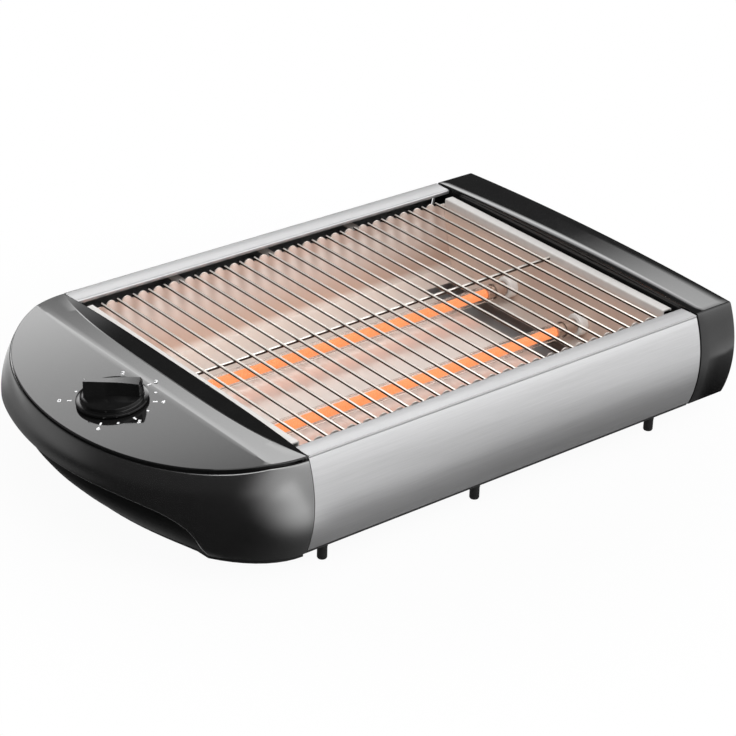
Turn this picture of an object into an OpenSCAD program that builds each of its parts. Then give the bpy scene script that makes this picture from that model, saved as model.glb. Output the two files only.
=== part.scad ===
// Flat toaster: steel side panels between a control end and a plain cap,
// a rod grill over a reflector with two quartz tubes, a timer and a crumb tray.
// X runs along the toaster towards the plain cap, -Y is the front, Z is up.
// The origin is on the table, under the middle of the toaster.

/* [Body] */
// Length of the steel side panels, between the two plastic ends
panel_len = 280; // [240:2:330]
// Depth between the top folds of the two side panels
fold_depth = 234; // [222:1:256]
// Height of a side panel, from its hem to its fold
panel_h = 58; // [56:1:66]
// How far a side panel bows outwards at half height
panel_bow = 6.3; // [4:0.1:9]
// Thickness of the panel and reflector sheet
sheet = 0.8; // [0.6:0.1:1]
// Thickness of the base plate
base_t = 1; // [0.8:0.1:1.5]
// Width of the top flange of a side panel
flange_w = 12.5; // [10:0.5:14]
// Fall of the top flange towards the grill
flange_drop = 0.2; // [0.1:0.1:1.4]
// Height of the lip under the flange's inner edge
lip_h = 2.4; // [1.5:0.1:3]
// Width of the hem under a side panel
hem_w = 14; // [12:0.5:16]
// Gap between a steel panel and a plastic end
end_gap = 1.2; // [0.6:0.1:2]

/* [Control end] */
// Reach of the control panel's rim beyond the steel panels
rim_reach = 78; // [72:0.5:84]
// How far the wall bellies out past the rim at the nose
belly_out = 6.5; // [4:0.5:9]
// How far the wall tucks in under the rim at the nose
foot_tuck = 13.5; // [8:0.5:16]
// Wall thickness of the plastic ends
wall = 2.4; // [2:0.1:3]
// Thickness of the control panel
fascia_t = 2.4; // [2:0.1:3]
// Distance of the panel's crease from the steel panels
crease_in = 21.5; // [18:0.5:25]
// Fall of the control panel towards the nose, in degrees
panel_tilt = 6.3; // [4:0.1:8]
// Height of the brow between panel and grill
brow_h = 3; // [2:0.5:5]
// Slope of the brow, in degrees
brow_slope = 16; // [14:1:30]
// Depth of the finger scoop under the nose
scoop_depth = 7.5; // [5:0.5:8]
// Half of the angle that the scoop spans, in degrees
scoop_half = 49.2; // [42:0.2:56]

/* [Plain end] */
// Reach of the end cap beyond the steel panels
cap_reach = 29; // [26:0.5:36]
// Rise of the end cap's arched top
cap_arch = 3; // [2:0.5:6]
// Rise of the plain end's top over the panels' fold
cap_lift = 0.6; // [0.3:0.1:1.5]
// Height of the end cap's upright wall beside the grill
cap_skirt = 8; // [6:0.5:12]

/* [Grill] */
// Diameter of the cross rods
rod_d = 1.8; // [1.4:0.1:2.4]
// Distance between the cross rods
rod_pitch = 10.9; // [9:0.1:14]
// Diameter of the lengthwise rod
spine_d = 2.2; // [1.8:0.1:3]
// Depth of the cross rods' centres under the panel folds
rod_drop = 4.5; // [4:0.1:6]
// How far the cross rods reach past the combs
rod_past = 1.2; // [0.6:0.2:3]

/* [Reflector and heaters] */
// Distance from the middle of the toaster to a comb
comb_y = 98.5; // [94:0.5:100]
// Width of the reflector's floor
floor_w = 180; // [174:1:188]
// Depth of the reflector's floor under the panel folds
floor_drop = 46; // [44:0.5:47]
// Distance of the end walls from the ends of the steel panels
end_wall_in = 8; // [6:0.5:12]
// Start of the end walls' top flange, from the panels' ends
rim_in = 4; // [1:0.5:5]
// Depth of the end walls' rims under the panel folds
rim_drop = 3.5; // [2.5:0.1:4]
// Distance between the two tubes
tube_pitch = 64; // [50:1:80]
// Depth of the tubes' centres under the panel folds
tube_drop = 37; // [34:0.5:38]
// Outer diameter of a quartz tube
tube_d = 10; // [9:0.5:12]
// Wall of a quartz tube
tube_wall = 1.2; // [1:0.1:1.5]
// Diameter of the heating wire
wire_d = 0.9; // [0.7:0.1:1]
// Turns of each heating coil
coil_turns = 40; // [20:1:45]
// Length of the metal ferrule between tube and ceramic bush
ferrule_len = 9; // [6:0.5:12]
// Diameter of a ceramic bush's flange
bush_d = 14; // [12:0.5:18]
// Length of a ceramic bush's flange
bush_len = 6.5; // [5:0.5:9]

/* [Crumb tray] */
// Width of the crumb tray
tray_w = 160; // [120:2:166]
// Height of the crumb tray
tray_h = 6; // [5.5:0.1:6.4]

/* [Timer] */
// Distance of the knob's axis from the steel panels
knob_in = 46; // [42:0.5:47]
// Sideways place of the knob's axis
knob_y = -4.5; // [-8:0.5:8]
// Diameter of the knob's skirt
knob_d = 39.5; // [34:0.5:44]
// Height of the knob above the control panel
knob_h = 14; // [11:0.5:16]
// Thickness of the knob's fin
fin_t = 6; // [4:0.5:9]
// Direction that the fin points at rest, in degrees from +X
fin_angle = 138; // [90:1:180]
// Diameter of the timer shaft
shaft_d = 6; // [5:0.5:7]

/* [Feet and fasteners] */
// Height of the feet under the body
foot_h = 10.5; // [8:0.1:13]
// Diameter of a foot
foot_d = 5.6; // [5.4:0.2:7]
// Diameter of the screws' shanks
screw_d = 3; // [2.5:0.1:3.5]

/* [Hidden] */
$fn = 64;
ARC_FN = 180;
ARCH_FN = 720;
fit = 0.2;
seat = 0.1;
run_fit = 0.05;
fold_half = fold_depth / 2;
z_bot = foot_h;
z_low = z_bot - base_t;
z_fold = z_bot + panel_h;
z_mid = z_bot + panel_h / 2;
bow_r = (pow(panel_h / 2, 2) + pow(panel_bow, 2)) / (2 * panel_bow);
bow_c = fold_half + panel_bow - bow_r;
belly_at = 0.34;
x_left = -(panel_len + cap_reach - rim_reach - belly_out - end_gap) / 2;
x_mid = x_left + panel_len / 2;
x_right = x_left + panel_len;
z_rod = z_fold - rod_drop;
weld = 0.3;
z_spine = z_rod - (rod_d + spine_d) / 2 + weld;
z_floor = z_fold - floor_drop;
z_tube = z_fold - tube_drop;
z_rim = z_fold - rim_drop;
rod_n = 2 * floor((panel_len - 2 * end_wall_in - 4) / rod_pitch / 2);
rod_half = comb_y + sheet + rod_past;
foot_y = fold_half - 4.4;
foot_x = [13.5, 119.5, 253];
foot_neck_d = 3.8;
foot_head_d = 5.2;
foot_head_h = 1.4;
tab_x = [-66, 0, 66];
tab_w = 7;
tab_drop = 8.5;
tooth_r = 3.4;
tooth_rise = 1.3;
comb_h = 8;
slot_w = 9.5;
slot_bar = 1.5;
slot_half = 72;
slot_in = 15.5;
bore_d = tube_d - 2 * tube_wall;
plug_len = 6;
pin_d = 3;
pin_out = 11;
neck_d = 10;
neck_len = 7;
tube_half = panel_len / 2 - end_wall_in - bush_len - ferrule_len;
coil_r = bore_d / 2 - wire_d / 2 - 0.5;
coil_half = tube_half - plug_len - seat - wire_d;
COIL_RINGS = 8;
COIL_SIDES = 6;
bar_t = 1;
bar_w = 7;
rail_t = 1.6;
rail_lip = 6;
rail_h = 7.6;
z_tray = z_bot + rail_t + fit;
tray_t = 0.8;
tray_from = x_left + end_wall_in + 6;
tray_to = x_right + cap_reach;
tray_gap = 0.6;
knob_lift = 0.8;
skirt_h = 3;
drum_d = 34;
drum_h = 5.4;
cavity_d = 32;
cavity_h = 2.2;
grip_half = 14.6;
case_x = 44;
case_y = 46;
case_h = 28;
case_wall = 2;
cam_d = 22;
cam_h = 4;
cam_notch = 5;
blade_w = 6;
blade_t = 0.6;
blade_x = 14;
blade_y = 9;
blade_out = 6;
screw_y = 13;
head_h = 1.6;
head_d = 5.4;
boss_d = 7;
boss_xy = [[-12, 86], [-12, -86], [-38, 54], [-38, -54]];
tongue_w = 16;
tongue_t = 2;
tongue_y = 40;
tongue_len = 20;
tongue_screw_in = 6;
rivet_d = 2.4;
rivet_y = 60;
rivet_head_h = 0.6;
boss_bite = 12;
tab_bite = 0.8;
lead_d = 2.6;
lead_turn = 6;
lead_lift = 4.5;
block = [26, 18, 14];
block_x = -24;
block_y = 70;
gland_x = -22;
gland_z = z_bot + 23;
gland_d = 12;
gland_bore = 7;
WALL_ROWS = 40;
WALL_LEVELS = [0, 0.1, 0.25, 0.42, 0.6, 0.8, 1];

// Shared placing and shaping

// Extrudes a shape drawn in Y and Z along X
module along_x(from, to) {
    translate([from, 0, 0])
        rotate([90, 0, 90])
            linear_extrude(to - from)
                children();
}

// A round bar along X
module bar_x(from, to, d) {
    translate([from, 0, 0])
        rotate([0, 90, 0])
            cylinder(d = d, h = to - from);
}

// Turns a left-hand piece into its right-hand twin
module to_right() {
    translate([2 * x_mid, 0, 0])
        mirror([1, 0, 0])
            children();
}

// The place of the knob on the control panel, with Z along its axis
module on_panel() {
    translate([x_left - knob_in, knob_y, top_z(-knob_in)])
        rotate([0, -panel_tilt, 0])
            children();
}

// Half depth of the bowed section at a height
function half_at(z) = bow_c + sqrt(bow_r * bow_r - pow(z - z_mid, 2));

// Height of the control panel's top at a distance x (negative) from the steel panels
function top_z(x) = z_fold - max(0, -x - crease_in) * tan(panel_tilt);

// Quadratic through (0, a), (ub, b) and (1, c)
function through(u, a, ub, b, c) =
    let (k = ((c - a) - (b - a) / ub) / (1 - ub))
    a + (c - a - k) * u + k * u * u;

// Reach of the control end's wall at the nose, from rim (u = 0) to foot (u = 1)
function reach(u) = through(u, rim_reach, belly_at, rim_reach + belly_out, rim_reach - foot_tuck);

// Upper edge of the finger scoop as a share of the wall's height, at a plan angle
function scoop_edge(t) =
    let (s = min(1, abs(t) / scoop_half))
    min(0.92, 1 - 0.655 * pow(1 - pow(s, 3.5), 0.28));

// Depth of the scoop at a plan angle
function scoop_in(t) =
    let (s = min(1, abs(t) / scoop_half))
    scoop_depth * pow(1 - pow(s, 4), 0.5);

// Shells

// Plan of the control panel's rim
module rim_plan(inset = 0) {
    polygon([for (i = [0 : WALL_ROWS])
        let (t = -90 + 180 * i / WALL_ROWS)
        [-end_gap - (rim_reach - inset) * cos(t), (fold_half - inset) * sin(t)]
    ]);
}

// Slab with the control panel's crease, running along Y
module fascia_slab() {
    far = -rim_reach - end_gap - 1;
    rotate([90, 0, 0])
        linear_extrude(fold_depth, center = true)
            polygon([
                [far, top_z(far)], [-crease_in, z_fold], [0, z_fold],
                [0, z_fold - fascia_t], [-crease_in, z_fold - fascia_t], [far, top_z(far) - fascia_t]
            ]);
}

// Brow: a shallow arch that rises towards the grill
module brow() {
    r = pow(fold_half, 2) / (2 * brow_h * cos(brow_slope));
    run = brow_h / tan(brow_slope) + 6;
    intersection() {
        translate([-end_gap - run, -fold_half, z_fold - fascia_t])
            cube([run, fold_depth, fascia_t + brow_h]);
        translate([-end_gap, 0, z_fold + brow_h])
            rotate([0, -brow_slope, 0])
                translate([-2 * run, 0, -r])
                    bar_x(0, 4 * run, 2 * r, $fn = ARCH_FN);
    }
}

module control_panel() {
    color([0.07, 0.07, 0.08])
    difference() {
        union() {
            translate([x_left, 0, 0])
                intersection() {
                    union() {
                        fascia_slab();
                        brow($fn = ARCH_FN);
                    }
                    linear_extrude(z_fold + brow_h + 1) rim_plan();
                }
            for (b = boss_xy)
                translate([x_left + b[0], b[1], z_low])
                    cylinder(d = boss_d, h = top_z(b[0]) - fascia_t / 2 - z_low);
        }
        for (b = boss_xy)
            translate([x_left + b[0], b[1], z_low - 1])
                cylinder(d = screw_d + 2 * seat, h = boss_bite + 4);
        on_panel() {
            translate([0, 0, -fascia_t - 2])
                cylinder(d = shaft_d + 3, h = fascia_t + 4);
            for (s = [-1, 1])
                translate([0, s * screw_y, -fascia_t - 2])
                    cylinder(d = screw_d + 2 * seat, h = fascia_t + 4);
        }
    }
}

// A point of the control end's wall, at a plan angle and level, moved in by an inset
function wall_point(t, level, inset) =
    let (
        edge = scoop_edge(t),
        u = level <= 1 ? level * edge : edge + (level - 1) * (1 - edge),
        cut = level > 1 ? scoop_in(t) * min(1, (level - 1) * 8) : 0,
        x0 = -end_gap - (rim_reach - inset) * cos(t),
        z0 = top_z(x0) - fascia_t,
        z = z0 + (z_low - z0) * u,
        in = inset + cut
    )
    [
        x_left - end_gap - (reach(u) - in) * cos(t),
        (half_at(z) - in) * sin(t),
        z
    ];

module control_housing() {
    levels = concat(WALL_LEVELS, [1.125, 1.5, 2]);
    m = len(levels);
    ring = 2 * m;
    pts = [for (i = [0 : WALL_ROWS])
        let (t = -90 + 180 * i / WALL_ROWS)
        each concat(
            [for (k = [0 : m - 1]) wall_point(t, levels[k], 0)],
            [for (k = [m - 1 : -1 : 0]) wall_point(t, levels[k], wall)]
        )
    ];
    sides = [for (i = [0 : WALL_ROWS - 1], k = [0 : ring - 1])
        let (
            a = i * ring + k,
            b = i * ring + (k + 1) % ring,
            c = b + ring,
            d = a + ring
        )
        each [[a, b, c], [a, c, d]]
    ];
    last = WALL_ROWS * ring;
    ends = [for (k = [0 : m - 2])
        let (a = k, b = k + 1, c = ring - 2 - k, d = ring - 1 - k)
        each [
            [a, d, c], [a, c, b],
            [last + a, last + b, last + c], [last + a, last + c, last + d]
        ]
    ];
    color([0.06, 0.06, 0.07])
    difference() {
        polyhedron(pts, concat(sides, ends), convexity = 6);
        translate([x_left + gland_x, fold_half - 25, gland_z])
            rotate([-90, 0, 0])
                cylinder(d = gland_d + 2 * fit, h = 50);
    }
}

// Plan of the control end's underside, following the wall's foot
module foot_plan(inset) {
    polygon([for (i = [0 : WALL_ROWS])
        let (t = -90 + 180 * i / WALL_ROWS, p = wall_point(t, 2, inset))
        [p[0], p[1]]
    ]);
}

module housing_base() {
    z = z_low - tongue_t;
    color([0.1, 0.1, 0.1])
    difference() {
        union() {
            translate([0, 0, z]) linear_extrude(tongue_t) foot_plan(wall / 2);
            tongues(x_left - end_gap - 4, x_left + tongue_len);
        }
        for (b = boss_xy)
            translate([x_left + b[0], b[1], z - 1])
                cylinder(d = screw_d + 2 * seat, h = tongue_t + 2);
        tongue_holes(x_left + tongue_len - tongue_screw_in);
    }
}

// Tongues that reach under the base plate
module tongues(from, to) {
    for (s = [-1, 1])
        translate([from, s * tongue_y - tongue_w / 2, z_low - tongue_t])
            cube([to - from, tongue_w, tongue_t]);
}

module tongue_holes(x) {
    for (s = [-1, 1])
        translate([x, s * tongue_y, z_low - tongue_t - 1])
            cylinder(d = screw_d + 2 * seat, h = tongue_t + base_t + 2);
}

// Section of the plain end: bowed sides and an arched top
module cap_section(inset) {
    arch_r = (pow(fold_half, 2) + pow(cap_arch, 2)) / (2 * cap_arch);
    intersection() {
        union() {
            translate([-fold_half + inset, z_low + inset])
                square([fold_depth - 2 * inset, panel_h + base_t + cap_arch + 2 * cap_lift]);
            for (s = [-1, 1])
                intersection() {
                    translate([s * bow_c, z_mid]) circle(bow_r - inset, $fn = ARC_FN);
                    translate([s * (fold_half + panel_bow / 2 - inset), z_mid])
                        square([panel_bow + 4, 2 * (z_mid - z_low - inset)], center = true);
                }
        }
        translate([0, z_fold + cap_arch + cap_lift - arch_r])
            circle(arch_r - inset, $fn = ARCH_FN);
    }
}

module end_cap() {
    from = x_right + end_gap;
    to = x_right + cap_reach;
    color([0.06, 0.06, 0.07])
    difference() {
        union() {
            difference() {
                along_x(from, to) cap_section(0);
                along_x(from - 1, to - wall) cap_section(wall);
            }
            // upright wall beside the grill
            intersection() {
                along_x(from, from + wall) cap_section(wall / 2);
                translate([from - 1, -fold_depth, z_fold - cap_skirt])
                    cube([wall + 2, 2 * fold_depth, cap_skirt + cap_arch + cap_lift]);
            }
            tongues(x_right - tongue_len, from + 4);
        }
        tongue_holes(x_right - tongue_len + tongue_screw_in);
        // way out for the crumb tray
        translate([to - wall - 1, -tray_w / 2 - tray_gap, z_tray - tray_gap])
            cube([wall + 2, tray_w + 2 * tray_gap, tray_h + 2 * tray_gap]);
    }
}

// Section of the rear side panel: bowed wall, top flange, lip and hem
module panel_section() {
    inner = fold_half - flange_w;
    intersection() {
        difference() {
            translate([bow_c, z_mid]) circle(bow_r, $fn = ARC_FN);
            translate([bow_c, z_mid]) circle(bow_r - sheet, $fn = ARC_FN);
        }
        translate([fold_half - 2, z_bot]) square([panel_bow + 4, panel_h]);
    }
    polygon([
        [fold_half, z_fold], [inner, z_fold - flange_drop],
        [inner, z_fold - flange_drop - sheet], [fold_half, z_fold - sheet]
    ]);
    translate([inner, z_fold - flange_drop - lip_h]) square([sheet, lip_h]);
    translate([fold_half - hem_w, z_bot]) square([hem_w, sheet]);
}

module side_panel() {
    difference() {
        along_x(x_left, x_right) panel_section();
        for (x = foot_x)
            translate([x_left + x, foot_y, z_bot - 1])
                cylinder(d = foot_neck_d + 2 * fit, h = sheet + 2);
    }
}

module rear_panel() {
    color([0.74, 0.74, 0.75]) side_panel();
}

module front_panel() {
    color([0.74, 0.74, 0.75]) mirror([0, 1, 0]) side_panel();
}

module base_plate() {
    color([0.16, 0.16, 0.17])
    difference() {
        translate([x_left, -fold_half + sheet, z_low])
            cube([panel_len, fold_depth - 2 * sheet, base_t]);
        for (x = foot_x, s = [-1, 1])
            translate([x_left + x, s * foot_y, z_low - 1])
                cylinder(d = foot_neck_d + 2 * fit, h = base_t + 2);
        for (s = [0, 1])
            mirrored_end(s) {
                tongue_holes(x_left + tongue_len - tongue_screw_in);
                rivet_places() translate([0, 0, -base_t - 1])
                    cylinder(d = rivet_d + 2 * seat, h = base_t + 2);
            }
    }
}

// Left-hand children for s = 0, their right-hand twins for s = 1
module mirrored_end(s) {
    if (s == 0) children();
    else to_right() children();
}

// Places of the rivets that hold the left end wall, on top of the base plate
module rivet_places() {
    for (s = [-1, 1])
        translate([x_left + end_wall_in / 2, s * rivet_y, z_bot]) children();
}

module feet() {
    head_z = z_bot + sheet + fit;
    color([0.05, 0.05, 0.05])
    for (x = foot_x, s = [-1, 1])
        translate([x_left + x, s * foot_y, 0]) {
            cylinder(d = foot_d, h = z_low);
            cylinder(d = foot_neck_d, h = head_z + foot_head_h / 2);
            translate([0, 0, head_z]) cylinder(d = foot_head_d, h = foot_head_h);
        }
}

// Grill, reflector and end walls

// Children at each cross rod's place along X
module each_rod() {
    for (i = [0 : rod_n - 1])
        translate([x_mid + (i - (rod_n - 1) / 2) * rod_pitch, 0, 0]) children();
}

module wire_rack() {
    reach_x = panel_len / 2 - end_wall_in + 4;
    color([0.8, 0.8, 0.8]) {
        each_rod()
            translate([0, rod_half, z_rod])
                rotate([90, 0, 0])
                    cylinder(d = rod_d, h = 2 * rod_half, $fn = 24);
        translate([0, 0, z_spine])
            bar_x(x_mid - reach_x, x_mid + reach_x, spine_d, $fn = 24);
    }
}

// Toothed edge of the reflector, drawn in X and Z
module comb_plan() {
    half = panel_len / 2 - end_wall_in - seat;
    low = z_rod - comb_h;
    top = z_rod + tooth_rise;
    notch = rod_d + 2 * fit;
    tooth = rod_pitch - notch;
    difference() {
        union() {
            translate([x_mid - half, low])
                square([2 * half, comb_h - rod_d / 2 - seat]);
            for (i = [0 : rod_n])
                translate([x_mid + (i - rod_n / 2) * rod_pitch, low]) {
                    translate([-tooth / 2, 0]) square([tooth, top - low - tooth_r]);
                    translate([0, top - low - tooth_r]) circle(tooth_r);
                }
        }
        for (s = [-1, 1])
            translate([x_mid + s * (half + 50), z_rod]) square([100, 100], center = true);
    }
}

// Section of the reflector's floor and rear slope
module reflector_section() {
    low = z_rod - comb_h;
    polygon([
        [comb_y, low + sheet], [comb_y + sheet, low + sheet], [comb_y + sheet, low],
        [floor_w / 2 + sheet, z_floor - sheet], [0, z_floor - sheet],
        [0, z_floor], [floor_w / 2, z_floor], [comb_y, low]
    ]);
}

module reflector() {
    from = x_left + end_wall_in + seat;
    to = x_right - end_wall_in - seat;
    tab_z = z_fold - tab_drop;
    color([0.86, 0.82, 0.8])
    difference() {
        union() {
            for (s = [0, 1])
                mirror([0, s, 0]) {
                    along_x(from, to) reflector_section();
                    translate([0, comb_y + sheet, 0])
                        rotate([90, 0, 0])
                            linear_extrude(sheet) comb_plan();
                    // tabs that hang the reflector in the side panels
                    for (x = tab_x)
                        translate([x_mid + x - tab_w / 2, comb_y, tab_z - sheet])
                            cube([tab_w, half_at(tab_z - sheet) - 2 * sheet - comb_y, sheet]);
                }
        }
        for (s = [0, 1])
            mirrored_end(s)
                for (k = [0, 1])
                    translate([from + slot_in + k * (slot_w + slot_bar), -slot_half, z_floor - sheet - 1])
                        cube([slot_w, 2 * slot_half, sheet + 2]);
    }
}

// Left end wall: upright sheet with a rim on top and a foot below
module end_wall() {
    x = x_left + end_wall_in;
    difference() {
        union() {
            translate([x - sheet, -comb_y, z_bot]) cube([sheet, 2 * comb_y, z_rim - z_bot]);
            translate([x_left + rim_in, -comb_y, z_rim - sheet]) cube([end_wall_in - rim_in, 2 * comb_y, sheet]);
            translate([x_left + fit, -comb_y, z_bot]) cube([end_wall_in - fit, 2 * comb_y, sheet]);
        }
        for (s = [-1, 1])
            translate([0, s * tube_pitch / 2, z_tube])
                bar_x(x - sheet - 1, x + 1, neck_d + 2 * fit);
        translate([0, 0, z_spine]) bar_x(x - sheet - 1, x + 1, spine_d + 2 * fit);
        rivet_places() translate([0, 0, -1]) cylinder(d = rivet_d + 2 * seat, h = sheet + 2);
    }
}

module left_end_wall() {
    color([0.75, 0.7, 0.68]) end_wall();
}

module right_end_wall() {
    color([0.75, 0.7, 0.68])
    difference() {
        to_right() end_wall();
        // way through for the crumb tray
        translate([x_right - end_wall_in - 1, -tray_w / 2 - tray_gap, z_tray - tray_gap])
            cube([sheet + 2, tray_w + 2 * tray_gap, tray_h + 2 * tray_gap]);
    }
}

// Heaters

// Children at the front (s = -1) or rear (s = 1) tube's axis
module at_tube(s) {
    translate([x_mid, s * tube_pitch / 2, z_tube]) children();
}

module quartz_tube(s) {
    color([0.95, 0.85, 0.75, 0.5])
    at_tube(s)
        difference() {
            bar_x(-tube_half, tube_half, tube_d);
            bar_x(-tube_half - 1, tube_half + 1, bore_d);
        }
}

// Middle line of the heating coil: straight ends, then even turns
function coil_point(k) =
    let (
        last = coil_turns * COIL_RINGS,
        turn = min(max(k, 0), last),
        a = 360 * turn / COIL_RINGS,
        x = -coil_half + 2 * coil_half * turn / last + (k - turn) * wire_d
    )
    [x, coil_r * cos(a), coil_r * sin(a)];

function unit(v) = v / norm(v);

module heating_coil(s) {
    last = coil_turns * COIL_RINGS;
    pts = [for (k = [-1 : last + 1])
        let (
            p = coil_point(k),
            tangent = unit(coil_point(min(k + 1, last + 1)) - coil_point(max(k - 1, -1))),
            out = unit([0, p[1], p[2]]),
            side = unit(cross(tangent, out)),
            up = cross(side, tangent)
        )
        for (j = [0 : COIL_SIDES - 1])
            let (a = 360 * j / COIL_SIDES)
            p + wire_d / 2 * (cos(a) * up + sin(a) * side)
    ];
    rings = last + 3;
    skin = [for (i = [0 : rings - 2], j = [0 : COIL_SIDES - 1])
        let (
            a = i * COIL_SIDES + j,
            b = i * COIL_SIDES + (j + 1) % COIL_SIDES,
            c = b + COIL_SIDES,
            d = a + COIL_SIDES
        )
        each [[a, b, c], [a, c, d]]
    ];
    end = (rings - 1) * COIL_SIDES;
    caps = [for (j = [1 : COIL_SIDES - 2])
        each [[0, j + 1, j], [end, end + j, end + j + 1]]
    ];
    color([1, 0.45, 0.15])
    at_tube(s)
        polyhedron(pts, concat(skin, caps), convexity = 10);
}

// Least gap between neighbouring turns, measured on the middle line's points
coil_gap = min([for (i = [0 : COIL_RINGS], j = [COIL_RINGS / 2 + i : 2 * COIL_RINGS + i])
    norm(coil_point(i) - coil_point(j))]) - wire_d;
echo(coil_least_gap_mm = coil_gap);

// Metal end of a tube: plug in the bore, collar, and pin through the bush
module tube_ferrule(s, right) {
    face = -tube_half;
    color([0.62, 0.5, 0.42])
    at_tube(s)
        mirror([right, 0, 0]) {
            bar_x(face, face + plug_len, bore_d - 2 * seat);
            bar_x(face - ferrule_len + seat, face, tube_d - 1);
            bar_x(face - ferrule_len - bush_len - pin_out, face, pin_d);
        }
}

module ceramic_bush(s, right) {
    face = -panel_len / 2 + end_wall_in;
    color([0.95, 0.94, 0.9])
    at_tube(s)
        mirror([right, 0, 0])
            difference() {
                union() {
                    bar_x(face, face + bush_len, bush_d);
                    bar_x(face - neck_len, face + 1, neck_d);
                }
                bar_x(face - neck_len - 1, face + bush_len + 1, pin_d + 2 * seat);
            }
}

// Strip that joins the two tubes at the plain end
module bus_bar() {
    x = panel_len / 2 - end_wall_in + neck_len + seat;
    half = tube_pitch / 2 + bar_w / 2;
    color([0.8, 0.65, 0.35])
    translate([x_mid, 0, z_tube])
        difference() {
            translate([x, -half, -bar_w / 2]) cube([bar_t, 2 * half, bar_w]);
            for (s = [-1, 1])
                translate([0, s * tube_pitch / 2, 0])
                    bar_x(x - 1, x + bar_t + 1, pin_d + 2 * seat);
        }
}

// Crumb tray

module crumb_tray() {
    face_h = tray_h;
    color([0.7, 0.7, 0.71]) {
        difference() {
            translate([tray_from, -tray_w / 2, z_tray])
                cube([tray_to - tray_from, tray_w, tray_h]);
            translate([tray_from + tray_t, -tray_w / 2 + tray_t, z_tray + tray_t])
                cube([tray_to - tray_from - tray_t - wall, tray_w - 2 * tray_t, tray_h]);
            // finger notch in the tray's face
            translate([tray_to - wall - 1, -22, z_tray - 1]) cube([wall + 2, 44, 1 + tray_h / 2]);
        }
        translate([tray_to - wall, -24, z_tray]) cube([wall / 2, 48, tray_h / 2 + 0.4]);
    }
}

// Angle rail that carries one long edge of the crumb tray
module tray_rail() {
    y = tray_w / 2 + fit;
    from = tray_from;
    to = x_right - end_wall_in - seat;
    color([0.5, 0.5, 0.5]) {
        translate([from, y, z_bot]) cube([to - from, rail_t, rail_h]);
        translate([from, y - rail_lip, z_bot]) cube([to - from, rail_lip + rail_t / 2, rail_t]);
    }
}

module tray_rail_rear() {
    tray_rail();
}

module tray_rail_front() {
    mirror([0, 1, 0]) tray_rail();
}

// Timer

// Side view of the knob's fin: upright pointer end, rounded tail
module fin_plan() {
    tail = knob_d / 2 - 1.5;
    low = knob_lift + skirt_h;
    rise = knob_h - low;
    translate([-tail + rise, low]) square([tail - rise + grip_half, rise]);
    intersection() {
        translate([-tail + rise, low]) circle(rise);
        translate([-tail, low]) square([rise + 1, rise]);
    }
}

module timer_knob() {
    color([0.03, 0.03, 0.03])
    on_panel()
        rotate([0, 0, fin_angle])
            difference() {
                union() {
                    translate([0, 0, knob_lift]) cylinder(d = knob_d, h = skirt_h);
                    translate([0, 0, knob_lift]) cylinder(d = drum_d, h = drum_h);
                    rotate([90, 0, 0])
                        linear_extrude(fin_t, center = true) fin_plan();
                }
                translate([0, 0, knob_lift - 1])
                    difference() {
                        cylinder(d = cavity_d, h = cavity_h + 1);
                        cylinder(d = shaft_d + 5, h = cavity_h + 2);
                    }
                translate([0, 0, knob_lift - 1])
                    cylinder(d = shaft_d + 2 * run_fit, h = knob_h - 3);
            }
}

module timer_shaft() {
    low = -fascia_t - case_h - case_wall - 1;
    color([0.7, 0.7, 0.7])
    on_panel() {
        translate([0, 0, low]) cylinder(d = shaft_d, h = knob_h - 3.2 - low);
    }
}

module switch_cam() {
    z = -fascia_t - case_h / 2;
    color([0.9, 0.88, 0.8])
    on_panel()
        difference() {
            translate([0, 0, z]) cylinder(d = cam_d, h = cam_h);
            translate([0, 0, z - 1]) cylinder(d = shaft_d + 2 * run_fit, h = cam_h + 2);
            translate([cam_d / 2, 0, z - 1]) cylinder(d = cam_notch, h = cam_h + 2);
        }
}

module timer_case() {
    color([0.85, 0.84, 0.8])
    on_panel()
        translate([0, 0, -fascia_t - case_h])
            difference() {
                translate([-case_x / 2, -case_y / 2, 0]) cube([case_x, case_y, case_h]);
                translate([-case_x / 2 + case_wall, -case_y / 2 + case_wall, -1])
                    cube([case_x - 2 * case_wall, case_y - 2 * case_wall, case_h - case_wall + 1]);
                cylinder(d = shaft_d + 2 * run_fit, h = case_h + 1);
                for (s = [-1, 1])
                    translate([0, s * screw_y, 0])
                        cylinder(d = screw_d + 2 * seat, h = case_h + 1);
            }
}

module timer_cover() {
    z = -fascia_t - case_h - case_wall;
    color([0.75, 0.74, 0.7])
    on_panel()
        difference() {
            translate([-case_x / 2, -case_y / 2, z]) cube([case_x, case_y, case_wall]);
            translate([0, 0, z - 1]) cylinder(d = shaft_d + 2 * run_fit, h = case_wall + 2);
            for (s = [-1, 1])
                translate([blade_x - fit, s * blade_y - blade_w / 2 - fit, z - 1])
                    cube([blade_t + 2 * fit, blade_w + 2 * fit, case_wall + 2]);
        }
}

// Contact blade standing in the timer's cover, its tail outside as a terminal
module contact_blade(s) {
    z = -fascia_t - case_h - case_wall;
    rise = case_wall + case_h / 2 + cam_h;
    on_panel() {
        translate([blade_x, s * blade_y - blade_w / 2, z - blade_out])
            cube([blade_t, blade_w, blade_out + rise]);
        // shoulder that rests on the cover
        translate([blade_x, s * blade_y - blade_w / 2 - 1, z + case_wall])
            cube([blade_t, blade_w + 2, 2]);
    }
}

module contact_fixed() {
    color([0.8, 0.6, 0.35]) contact_blade(1);
}

module contact_spring() {
    color([0.8, 0.6, 0.35]) contact_blade(-1);
}

// Screw with its head on top, its seat at Z = 0
module screw(length) {
    translate([0, 0, -length]) cylinder(d = screw_d, h = length + head_h / 2);
    cylinder(d = head_d, h = head_h);
}

module timer_screws() {
    color([0.6, 0.6, 0.6])
    on_panel()
        for (s = [-1, 1])
            translate([0, s * screw_y, 0]) screw(fascia_t + case_wall + 2);
}

// Electrics in the control end

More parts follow.
